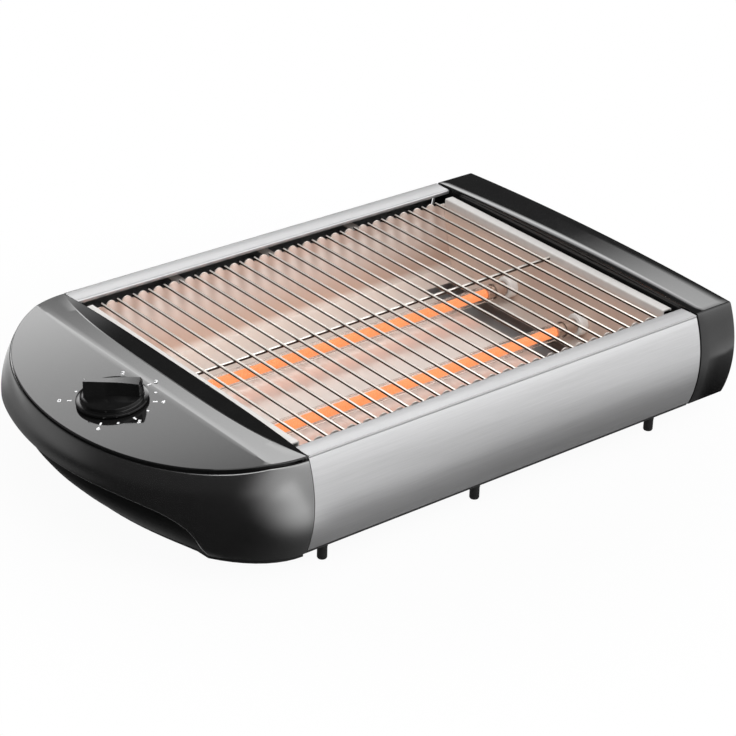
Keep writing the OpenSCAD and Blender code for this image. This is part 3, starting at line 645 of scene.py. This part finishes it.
def helix_tree():
    """A wound wire along X."""
    tree, graph, gin, gout = new_group(
        "Wound wire", "GeometryNodeTree",
        {"Geometry": "Geometry", "Turns": "Float", "Steps": "Int", "Radius": "Float",
         "Length": "Float", "Wire radius": "Float", "Start": "Vector", "Finish": "Material"},
        {"Geometry": "Geometry"})
    path = graph.add("GeometryNodeCurveSpiral", {
        "Rotations": gin["Turns"], "Resolution": gin["Steps"], "Start Radius": gin["Radius"],
        "End Radius": gin["Radius"], "Height": gin["Length"]})
    ring = graph.add("GeometryNodeCurvePrimitiveCircle",
                     {"Resolution": 7, "Radius": gin["Wire radius"]})
    skin = graph.add("GeometryNodeCurveToMesh", {
        "Curve": path.outputs["Curve"], "Profile Curve": ring.outputs["Curve"],
        "Fill Caps": True})
    lay = graph.add("GeometryNodeTransform", {
        "Geometry": skin.outputs["Mesh"], "Rotation": (0, math.pi / 2, 0),
        "Translation": gin["Start"]})
    smooth = graph.add("GeometryNodeSetShadeSmooth", {"Geometry": lay.outputs["Geometry"]})
    end_tree(graph, smooth.outputs["Geometry"], gin, gout)
    return tree


COPIES = copies_tree()
HELIX = helix_tree()


def drive_tree(obj, tree, **values):
    """Adds the tree to an object, sets its named inputs, and keeps the plain result."""
    mod = obj.modifiers.new(tree.name, "NODES")
    mod.node_group = tree
    for item in tree.interface.items_tree:
        if item.in_out == "INPUT" and item.name in values:
            mod[item.identifier] = values[item.name]
    return settle(obj)


def place_copies(name, shape, spots, material, angle=32):
    """Copies of a shape at (x, y, z, turns) spots, as one plain mesh."""
    single_mesh = make_mesh(name + "_one", *shape)
    soften(single_mesh, angle)
    single = add_object(name + "_one", single_mesh)
    points = bpy.data.meshes.new(name)
    points.from_pydata([(x / 1000, y / 1000, z / 1000) for x, y, z, _ in spots], [], [])
    turn = points.attributes.new("turn", "FLOAT_VECTOR", "POINT")
    for i, (_, _, _, angles) in enumerate(spots):
        turn.data[i].vector = angles
    host = drive_tree(add_object(name, points), COPIES,
                      **{"Copied object": single, "Finish": material})
    bpy.data.objects.remove(single)
    return host


# The control end

def rim_point(t, d, z):
    """Point on the panel's outline, moved inwards by d."""
    return (seam_at(t) + (RIM_REACH - d) * math.cos(t), (FOLD_HALF - d) * math.sin(t), z)


def fascia_section(t):
    """Closed section of the control panel along one row."""
    y = (FOLD_HALF - RIM_EDGE) * math.sin(t)
    run = (RIM_REACH - RIM_EDGE) * math.cos(t)
    s_in = SEAM
    s_end = seam_at(t) + run
    brow_run = BROW_LEAST + (BROW_RUN - BROW_LEAST) * (1 - abs(math.sin(t)) ** 3.5)
    s_valley = s_in + min(brow_run, 0.45 * run)
    brow_top = Z_FOLD + BROW_RISE * (s_valley - s_in)
    s_crease = min(CREASE_IN, s_in + 0.8 * run)
    lip = min(BROW_LIP, 0.2 * run)
    # up the raised brow and down to the valley
    section = [(s_in, y, Z_FOLD - BROW_SKIRT), (s_in, y, brow_top - 0.7),
               (s_in + 0.3 * lip, y, brow_top - 0.2)]
    for share in (0, 0.25, 0.5, 0.75, 0.96):
        s = lerp(s_in + lip, s_valley, share)
        section.append((s, y, brow_top - (s - s_in) * BROW_RISE))
    # level to the crease, then down the slope to the rim
    for share in (0.03, 0.35, 0.7, 0.95):
        s = lerp(s_valley, s_crease, share)
        section.append((s, y, top_z(s)))
    for share in [0.012] + [k / 14 for k in range(1, 14)] + [0.985, 1]:
        s = lerp(s_crease, s_end, share)
        section.append((s, y, top_z(s)))
    # rounded edge, and the groove above the wall
    low = top_z(s_end)
    for a in (25, 50, 75, 90):
        d = RIM_EDGE * (1 - math.sin(math.radians(a)))
        drop = RIM_EDGE * (1 - math.cos(math.radians(a)))
        section.append(rim_point(t, d, low - drop))
    for d, drop in ((0, 0.7), (0.1, 0.8), (GROOVE_IN, 0.85),
                    (GROOVE_IN, FASCIA_T + GROOVE_SINK)):
        section.append(rim_point(t, d, low - drop))
    # back along the underside
    for k in range(1, 5):
        s = lerp(s_end, s_in + min(2.4, 0.5 * run), k / 4)
        section.append((s, y, min(top_z(s), Z_FOLD) - FASCIA_T))
    section.append((s_in + min(2.2, 0.45 * run), y, Z_FOLD - BROW_SKIRT))
    return [(X_LEFT - s, yy, z) for s, yy, z in section]


def make_fascia():
    rows, end = 160, 89.4
    sections = [fascia_section(math.radians(lerp(-end, end, i / rows))) for i in range(rows + 1)]
    make_piece("control_fascia", loft(sections), GLOSS_BLACK,
               ["control_panel"], angle=5)


def wall_point(t, u, inset):
    """Point of the wall at an angle in degrees, from rim (0) to foot (1), moved inwards."""
    a = math.radians(t)
    rim = seam_at(a) + RIM_REACH * math.cos(a)
    z = lerp(top_z(rim) - FASCIA_T, Z_LOW, u)
    return (X_LEFT - seam_at(a) - (wall_reach(u) - inset) * math.cos(a),
            (half_at(z) - inset) * math.sin(a), z)


def make_housing():
    rows = []
    count = 260
    top = ((0, WALL), (0, 0.6), (0.002, 0.3), (0.006, 0.1), (0.014, 0.02))
    fillet = ((-0.018, 0.02), (-0.004, 0.07), (0.007, 0.15), (0.015, 0.28), (0.021, 0.5),
              (0.024, 0.8), (0.026, 1.0))
    lowest = 0.985
    for i in range(count + 1):
        t = lerp(-90, 90, i / count)
        edge = scoop_edge(t)
        depth = scoop_in(t)
        ring = [wall_point(t, u, inset) for u, inset in top]
        for k in range(1, 15):
            ring.append(wall_point(t, lerp(0.014, edge - 0.034, k / 14), 0))
        for du, share in fillet:
            ring.append(wall_point(t, min(edge + du, lowest), depth * share))
        start = min(edge + 0.026, lowest)
        for k in range(1, 7):
            ring.append(wall_point(t, lerp(start, 0.992, k / 6), depth))
        ring += [wall_point(t, 1, depth + 0.4), wall_point(t, 1, depth + WALL),
                 wall_point(t, 0.5, depth + WALL)]
        rows.append(ring)
    make_piece("control_housing_shell", loft(rows), SATIN_BLACK,
               ["control_housing"], angle=24)


def make_scoop_pad():
    """Thin grained pad on the face of the finger scoop, dark and reflecting little: painted shade
    in the recess.
    """
    rows = []
    reach = SCOOP_HALF - 1.5
    for i in range(121):
        t = lerp(-reach, reach, i / 120)
        depth = scoop_in(t)
        start, end = min(scoop_edge(t) + 0.03, 0.975), 0.985
        outer = [wall_point(t, lerp(start, end, k / 6), depth - PAD_PROUD) for k in range(7)]
        inner = [wall_point(t, u, depth + PAD_SUNK) for u in (end, start)]
        rows.append(outer + inner)
    make_piece("scoop_pad", loft(rows), SCOOP_SHADE_BLACK, angle=30)


# The plain end

def arch_top(y):
    """Height of the plain end's arched top."""
    arch_r = (FOLD_HALF ** 2 + CAP_ARCH ** 2) / (2 * CAP_ARCH)
    return Z_FOLD + CAP_ARCH + CAP_LIFT - arch_r + math.sqrt(arch_r ** 2 - y * y)


def cap_ring(x, d=0.0):
    """Outline of the plain end at x, moved inwards by d, with eased corners."""
    ease = max(0.3, CAP_CORNER - d)
    low, high = Z_LOW + d, arch_top(FOLD_HALF) - d
    corners = []
    for k in range(25):
        z = lerp(low, high, k / 24)
        corners.append((half_at(z) - d, z, ease if k in (0, 24) else 0))
    edge = corners[-1][0]
    for k in range(1, 40):
        y = lerp(edge, -edge, k / 40)
        corners.append((y, arch_top(y) - d, 0))
    corners += [(-y, z, r) for y, z, r in corners[24::-1]]
    middle = [(0.0, low, 0)]
    return [(x, y, z) for y, z in rounded(middle + corners + middle)[:-1]]


def make_cap():
    start, end = X_RIGHT + END_GAP, X_RIGHT + CAP_REACH
    side, edge = start + 0.3, end - CAP_EASE
    rings = [cap_ring(end - WALL, WALL + 0.4), cap_ring(start + 1, WALL),
             cap_ring(start, WALL - 0.3), cap_ring(start, 0.3), cap_ring(start + 0.09, 0.09),
             cap_ring(side)]
    for k in range(1, 5):
        rings.append(cap_ring(lerp(side, edge, k / 4)))
    for a in range(15, 91, 15):
        c, s = math.cos(math.radians(a)), math.sin(math.radians(a))
        rings.append(cap_ring(edge + CAP_EASE * s, CAP_EASE * (1 - c)))
    shell = add_object("end_cap_shell", make_mesh("end_cap_shell", *loft(rings)))
    half_slot = TRAY_W / 2 + TRAY_GAP
    cutter = add_object("tray_slot", make_mesh("tray_slot", *box_shape(
        (end - WALL - 4, -half_slot, Z_TRAY - TRAY_GAP),
        (end + 4, half_slot, Z_TRAY + TRAY_H + TRAY_GAP))))
    cut = shell.modifiers.new("Tray slot", "BOOLEAN")
    cut.object = cutter
    cut.operation = "DIFFERENCE"
    cut.solver = "EXACT"
    settle(shell)
    bpy.data.objects.remove(cutter)
    soften(shell.data, 24)
    finish_piece(shell, GLOSS_BLACK, ["end_cap"])
    # upright wall beside the grill
    rings = []
    reach, low = FOLD_HALF - 3, Z_FOLD - CAP_SKIRT
    for k in range(41):
        y = lerp(-reach, reach, k / 40)
        top = arch_top(y) - 0.4
        rings.append([(start + 0.1, y, low), (start + 0.1, y, top - 0.6),
                      (start + 0.35, y, top - 0.1), (start + WALL, y, top - 0.1),
                      (start + WALL, y, low)])
    make_piece("end_cap_skirt", loft(rings), GLOSS_BLACK)


# Sheet metal

def panel_path():
    """Section of a steel panel from the lip over the flange and fold down to the hem."""
    inner = FOLD_HALF - FLANGE_W
    lip_z = Z_FOLD - FLANGE_DROP
    z_side = Z_FOLD - FOLD_GROOVE
    corners = [(inner, lip_z - LIP_H, 0), (inner, lip_z, 1.1), (FOLD_HALF + FOLD_LIP, Z_FOLD, 0.4),
               (FOLD_HALF + FOLD_LIP, Z_FOLD - 0.7, 0.15), (FOLD_HALF - 0.1, Z_FOLD - 0.8, 0.05),
               (FOLD_HALF - 0.1, Z_FOLD - 1.1, 0.05), (half_at(z_side), z_side, 0.1)]
    for k in range(1, 28):
        z = lerp(z_side, Z_BOT, k / 28)
        corners.append((half_at(z), z, 0))
    corners += [(FOLD_HALF, Z_BOT, 1.2), (FOLD_HALF - HEM_W, Z_BOT, 0)]
    return rounded(corners)


def make_panels():
    loop = sheet_loop(panel_path())
    for side, name in ((-1, "front_panel"), (1, "rear_panel")):
        rings = [[(lerp(X_LEFT, X_RIGHT, share), side * y, z) for y, z in loop]
                 for share in (0, 0.33, 0.67, 1)]
        make_piece(name + "_sheet", loft(rings), PANEL_STEEL, [name],
                   angle=40)


def make_end_walls():
    loop = sheet_loop(rounded([(RIM_IN, Z_RIM - 1.4, 0), (RIM_IN, Z_RIM, 0.5),
                               (END_WALL_IN, Z_RIM, 1.0), (END_WALL_IN, Z_BOT, 1.0),
                               (0.4, Z_BOT, 0)]))
    for side, x0, name in ((1, X_LEFT, "left_end_wall"), (-1, X_RIGHT, "right_end_wall")):
        rings = [[(x0 + side * x, y, z) for x, z in loop] for y in (-COMB_Y, -30, 30, COMB_Y)]
        make_piece(name + "_sheet", loft(rings), END_SHEET, [name],
                   angle=40)


# Grill, heaters and feet

def make_rack():
    half = COMB_Y + SHEET + ROD_PAST
    spots = [(X_MID + (i - (ROD_COUNT - 1) / 2) * ROD_PITCH, 0, Z_ROD, (math.pi / 2, 0, 0))
             for i in range(ROD_COUNT)]
    rods = place_copies("grill_rods", bar_shape(2 * half, ROD_D), spots, ROD_CHROME, 50)
    finish_piece(rods, None, ["wire_rack"])
    length = PANEL_LEN - 2 * END_WALL_IN + 8
    turn = Matrix.Translation((X_MID, 0, Z_SPINE)) @ Matrix.Rotation(math.pi / 2, 4, "Y")
    make_piece("grill_spine", moved(bar_shape(length, SPINE_D), turn), ROD_CHROME,
               angle=50)


def make_coils():
    length = 2 * (TUBE_HALF - PLUG_LEN - 0.1)
    for side, name in ((-1, "front"), (1, "rear")):
        host = add_object("heating_coil_" + name + "_wire", bpy.data.meshes.new("coil_" + name))
        drive_tree(host, HELIX, **{
            "Turns": float(COIL_TURNS), "Steps": COIL_STEPS, "Radius": COIL_R / 1000,
            "Length": length / 1000, "Wire radius": WIRE_R / 1000, "Finish": GLOW,
            "Start": ((X_MID - length / 2) / 1000, side * TUBE_Y / 1000, Z_TUBE / 1000)})
        finish_piece(host, None, ["heating_coil_" + name])


def make_tube_ends():
    """Ceramic bushes and metal ferrules at the four ends of the tubes."""
    neck, rim, bore = BUSH_NECK_D / 2, BUSH_D / 2, PIN_D / 2 + 0.1
    bush = revolve([(bore, 7), (neck - 0.4, 7), (neck, 6.6), (neck, 0), (rim - 0.6, 0),
                    (rim, -0.6), (rim, -BUSH_LEN + 1.6), (rim - 0.5, -BUSH_LEN + 0.5),
                    (rim - 1.6, -BUSH_LEN), (4.6, -BUSH_LEN), (3.9, -BUSH_LEN + 0.5),
                    (3.6, -BUSH_LEN + 1.4), (bore, -BUSH_LEN + 1.6), (bore, 7)], 48)
    r, plug, pin = TUBE_D / 2 - 0.5, TUBE_BORE / 2 - 0.1, PIN_D / 2
    ferrule = revolve([(0, -PLUG_LEN), (plug, -PLUG_LEN), (plug, 0), (r, 0), (r, 5.2),
                       (r - 0.5, 5.6), (r - 0.5, 6.4), (r, 6.8), (r, 8.2), (r - 0.7, 8.9),
                       (pin, 8.9), (pin, 26.2), (pin - 0.4, 26.5), (0, 26.5)], 40)
    names = [f"{y}_{x}" for y in ("front", "rear") for x in ("left", "right")]
    for name, shape, reach, material, slot, node in (
            ("ceramic_bushes", bush, PANEL_LEN / 2 - END_WALL_IN, CERAMIC, "white_ceramic",
             "ceramic_bush_"),
            ("tube_ferrules", ferrule, TUBE_HALF, FERRULE, "ferrule_steel", "tube_ferrule_")):
        spots = [(X_MID + side * reach, y, Z_TUBE, (0, side * math.pi / 2, 0))
                 for side in (-1, 1) for y in (-TUBE_Y, TUBE_Y)]
        finish_piece(place_copies(name, shape, spots, material), None,
                     [node + n for n in names])


def make_feet():
    r = FOOT_D / 2
    peg = revolve([(0, 0), (r - 0.9, 0), (r - 0.3, 0.25), (r, 0.9), (r, 7.2), (r + 0.2, 7.8),
                   (r + 0.2, Z_LOW), (1.9, Z_LOW), (1.9, 11.4), (2.6, 11.4), (2.6, 12.0),
                   (1.6, 12.8), (0, 12.8)], 32)
    spots = [(X_LEFT + x, side * FOOT_Y, 0, (0, 0, 0)) for side in (-1, 1) for x in FOOT_X]
    feet = place_copies("push_in_feet", peg, spots, MATTE_BLACK)
    finish_piece(feet, None, ["feet"])


# Timer knob and dial

def on_panel():
    """Place of the knob on the control panel, with Z along its axis."""
    return (Matrix.Translation((X_LEFT - KNOB_IN, KNOB_Y, top_z(KNOB_IN)))
            @ Matrix.Rotation(-PANEL_TILT, 4, "Y"))


def fin_shape():
    """Raised fin across the knob: its top widens and falls a little towards the tail."""
    drum = KNOB_D / 2 - DRUM_IN
    low = KNOB_LIFT + 4.4
    steps = 40
    rings = []
    for k in range(steps + 1):
        s = lerp(FIN_TAIL, FIN_TIP, k / steps)
        q = max(0.0, -s) / -FIN_TAIL
        end = max(0.0, (q - 0.9) / 0.1)
        top = lerp(FIN_TOP - 1.1 * q * q, low + 0.3, 1 - math.sqrt(max(0.0, 1 - end ** 2)))
        base = min(FIN_BASE, math.sqrt(max(0.3, drum ** 2 - min(abs(s), drum) ** 2)))
        peak = min(lerp(1.4, 4.0, (s - FIN_TIP) / (FIN_TAIL - FIN_TIP)), base)
        peak = lerp(base, peak, max(0.0, (top - low) / (FIN_TOP - low)))
        ease = min(0.3, 0.4 * (top - low))
        flank = [(base, low), (peak + 0.05, top - ease), (peak - 0.25, top)]
        rings.append([(s, -y, z) for y, z in flank] + [(s, y, z) for y, z in flank[::-1]])
    return loft(rings)


def make_knob():
    r = KNOB_D / 2
    profile = [(3.1, 5), (3.1, 0), (5.4, 0), (5.4, 2.2), (16, 2.2), (16, 0), (r - 0.4, 0),
               (r, 0.4), (r, 1.3), (r - 0.12, 1.6), (r - 0.4, 1.7), (r - 2.3, 1.8),
               (r - 2.5, 2.0), (r - 2.55, 3.7), (r - 2.65, 4.0), (r - 2.95, 4.1), (r - 5, 4.5),
               (3.1, 5)]
    skirt = revolve([(a, KNOB_LIFT + h) for a, h in profile], 96)
    turn = on_panel() @ Matrix.Rotation(FIN_ANGLE, 4, "Z")
    make_piece("timer_knob_grip", moved(join_shapes(skirt, fin_shape()), turn), KNOB_BLACK,
               ["timer_knob"], TIMER, angle=26)


def dial_text(text):
    """A flat printed figure centred on the origin, as points and faces in millimetres."""
    curve = bpy.data.curves.new("figure", "FONT")
    curve.body = text
    curve.size = FIGURE_SIZE / 1000
    curve.align_x = "CENTER"
    curve.align_y = "CENTER"
    curve.extrude = 0.00004
    curve.offset = 0.00012
    curve.resolution_u = 4
    obj = add_object("figure", curve)
    mesh = final_mesh(obj)
    points = [tuple(v.co * 1000) for v in mesh.vertices]
    faces = [tuple(p.vertices) for p in mesh.polygons]
    bpy.data.objects.remove(obj)
    return points, faces


def make_dial():
    panel = on_panel()
    shapes = []
    for i, deg in enumerate(FIGURE_ANGLES):
        a = math.radians(deg)
        r = DIAL_R + (ZERO_OUT if i == 0 else FIGURE_OUT)
        place = (panel @ Matrix.Translation((r * math.cos(a), r * math.sin(a), 0.05))
                 @ Matrix.Rotation(-math.pi / 4, 4, "Z"))
        shapes.append(moved(dial_text(str(i)), place))
    make_piece("dial_figures", join_shapes(*shapes), PRINT, angle=60)
    dash = box_shape((-1.3, -0.5, 0.0), (1.3, 0.5, PRINT_T))
    dot = revolve([(0, 0), (0.75, 0), (0.75, PRINT_T), (0, PRINT_T)], 16)
    tilt = Matrix.Rotation(-PANEL_TILT, 4, "Y")
    for name, shape, degs in (("dial_dashes", dash, FIGURE_ANGLES),
                              ("dial_dots", dot, DOT_ANGLES)):
        spots = []
        for deg in degs:
            a = math.radians(deg)
            at = panel @ Vector((DIAL_R * math.cos(a), DIAL_R * math.sin(a), 0))
            spots.append((*at, tuple((tilt @ Matrix.Rotation(a, 4, "Z")).to_euler())))
        finish_piece(place_copies(name, shape, spots, PRINT), None)


def dress_nodes():
    for material, names in PLAIN_NODES:
        for name in names:
            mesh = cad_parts[name].data
            mesh.materials.clear()
            mesh.materials.append(material)


# Camera, light and floor

def make_camera():
    back = Vector((math.sin(CAMERA_HEADING) * math.cos(CAMERA_RISE),
                   -math.cos(CAMERA_HEADING) * math.cos(CAMERA_RISE), math.sin(CAMERA_RISE)))
    right = (-back).cross(Vector((0, 0, 1))).normalized()
    up = right.cross(-back)
    c, s = math.cos(CAMERA_ROLL), math.sin(CAMERA_ROLL)
    right, up = c * right + s * up, c * up - s * right
    cam = add_object("Camera", bpy.data.cameras.new("Camera"))
    turned = Matrix((right, up, back)).transposed().to_4x4()
    cam.matrix_world = Matrix.Translation(CAMERA_AT) @ turned
    cam.data.sensor_width = 36
    cam.data.lens = 119.36
    cam.data.clip_start = 0.05
    bpy.context.scene.camera = cam


def make_lamp(name, place, aim, size, radiance):
    """Square area lamp of a given radiance."""
    lamp = bpy.data.lights.new(name, "AREA")
    lamp.shape = "RECTANGLE"
    lamp.size = lamp.size_y = size
    lamp.energy = radiance * math.pi * size * size
    obj = add_object(name, lamp)
    obj.location = place
    obj.rotation_euler = (Vector(aim) - Vector(place)).to_track_quat("-Z", "Y").to_euler()
    return obj


def make_light():
    make_lamp("Top softbox", (-0.2, -0.3, 2.2), aim=(0, 0, 0), size=1.6, radiance=3.0)
    fill = make_lamp("Left fill", (-1.2, -0.8, 1.1), aim=(0.05, 0, 0.05), size=0.8, radiance=6.0)
    fill.visible_glossy = False
    world = bpy.data.worlds.new("Studio")
    bpy.context.scene.world = world
    world.use_nodes = True
    graph = Graph(world.node_tree)
    way = graph.add("ShaderNodeTexCoord").outputs["Generated"]
    height = graph.axes(way)["Z"]
    # walls of the studio: pale to the front right, dim elsewhere
    room = graph.lobe(way, *ROOM)
    # soft bright bank high up behind the object
    heading = graph.vector("NORMALIZE", graph.vector("MULTIPLY", way, (1, 1, 0)))
    bank = graph.product(
        graph.ramp(height, 0.402, 0.524, 0, 1), graph.ramp(height, 0.515, 0.565, 1, 0.5),
        graph.ramp(height, 0.565, 0.63, 1, 0), graph.lobe(heading, *BANK))
    # pale low wall behind, below the bank
    low_wall = graph.product(graph.ramp(height, 0.06, 0.16, 0.8, 0),
                             graph.lobe(way, *REAR_WALL))
    # dim glow from the rear left, and a high screen over the front right
    studio = graph.total(room, bank, low_wall, graph.lobe(way, *REAR_GLOW),
                         graph.lobe(way, *HIGH_SCREEN))
    # white to the camera, also through the glass
    path = graph.add("ShaderNodeLightPath").outputs
    seen = graph.calc("MAXIMUM", path["Is Camera Ray"], path["Is Transmission Ray"])
    sky = world.node_tree.nodes["Background"].inputs
    graph.fill(sky, {"Color": (1, 1, 1, 1), "Strength": graph.blend(seen, studio, 1.0)})


def floor_reflection(graph, place, far):
    """What the floor shows in reflections: pale beside the panels, dim round the black ends."""
    axes = graph.axes(place)
    x, y = axes["X"], axes["Y"]
    beside = graph.calc("ABSOLUTE", y)
    # beside the steel panels, a little dimmer along their middle
    off_middle = graph.calc("ABSOLUTE", graph.calc("SUBTRACT", x, 0.1))
    panel = graph.product(
        graph.ramp(beside, 0.125, 0.2, 0.22, 1.12), graph.ramp(x, -0.16, -0.075, 0, 1),
        graph.ramp(off_middle, 0.03, 0.13, 0.8, 1))
    # past the plain end
    past_cap = graph.ramp(graph.calc("MULTIPLY_ADD", beside, -0.9, x), 0.07, 0.088, 0, 1)
    pale = graph.blend(past_cap, panel, graph.ramp(beside, 0.172, 0.19, 0, 2.1))
    # a bright card beside the corners of the control end
    slant = graph.calc("MULTIPLY_ADD", beside, -0.2, x)
    spread = graph.calc("MULTIPLY_ADD", beside, 0.9, x)
    card = graph.product(
        graph.ramp(x, -0.25, -0.105, 0, 0.9), graph.ramp(slant, -0.128, -0.1, 1, 0),
        graph.ramp(spread, -0.03, 0.06, 0, 1), graph.ramp(beside, 0.13, 0.165, 0, 1))
    # pale under the rounded nose
    oval = graph.vector("LENGTH", graph.vector("MULTIPLY_ADD", place, (11.5, 8.3, 0),
                                               (1.265, 0, 0)))
    close = graph.total(graph.ramp(oval, 0.76, 0.92, 0.6, 0.03),
                        graph.ramp(y, -0.02, 0.1, 0, 0.25))
    nose = graph.product(close, graph.ramp(x, -0.17, -0.11, 1, 0))
    # far off it runs into the studio's walls
    outward = graph.vector("NORMALIZE", place)
    walls = graph.total(graph.lobe(outward, *FAR_FRONT), graph.lobe(outward, *FAR_REAR),
                        graph.lobe(outward, *REAR_GLOW))
    reflected = graph.blend(graph.ramp(far, 0.22, 0.45, 0, 1), graph.total(pale, nose), walls)
    return graph.total(reflected, card)


def floor_material():
    """White to the camera, with the shadow kept near the object."""
    mat, graph, shader = new_material("Pale floor")
    graph.fill(shader.inputs, {"Base Color": (0.5, 0.5, 0.5, 1), "Roughness": 0.9})
    place = graph.place()
    far = graph.vector("LENGTH", place)
    path = graph.add("ShaderNodeLightPath").outputs
    mirrored = graph.calc("MAXIMUM", path["Is Glossy Ray"], path["Is Transmission Ray"])
    level = graph.blend(mirrored, 1.0, floor_reflection(graph, place, far))
    white = graph.add("ShaderNodeEmission", {"Strength": level})
    seen = graph.product(graph.ramp(far, 0.15, 0.34, 0.95, 1.0), path["Is Camera Ray"])
    mix = graph.add("ShaderNodeMixShader", {
        0: graph.calc("MAXIMUM", mirrored, seen), 1: shader.outputs[0], 2: white.outputs[0]})
    graph.give(mat.node_tree.nodes["Material Output"].inputs["Surface"], mix.outputs[0])
    return mat


def make_floor():
    h = FLOOR_HALF
    mesh = bpy.data.meshes.new("Floor")
    mesh.from_pydata([(-h, -h, 0), (h, -h, 0), (h, h, 0), (-h, h, 0)], [], [(0, 1, 2, 3)])
    floor = add_object("Floor", mesh)
    mesh.materials.append(floor_material())


make_camera()
make_light()
make_floor()
make_fascia()
make_housing()
make_scoop_pad()
make_cap()
make_panels()
make_end_walls()
make_rack()
make_coils()
make_tube_ends()
make_feet()
make_knob()
make_dial()
dress_nodes()
bpy.context.scene.view_settings.view_transform = "Standard"
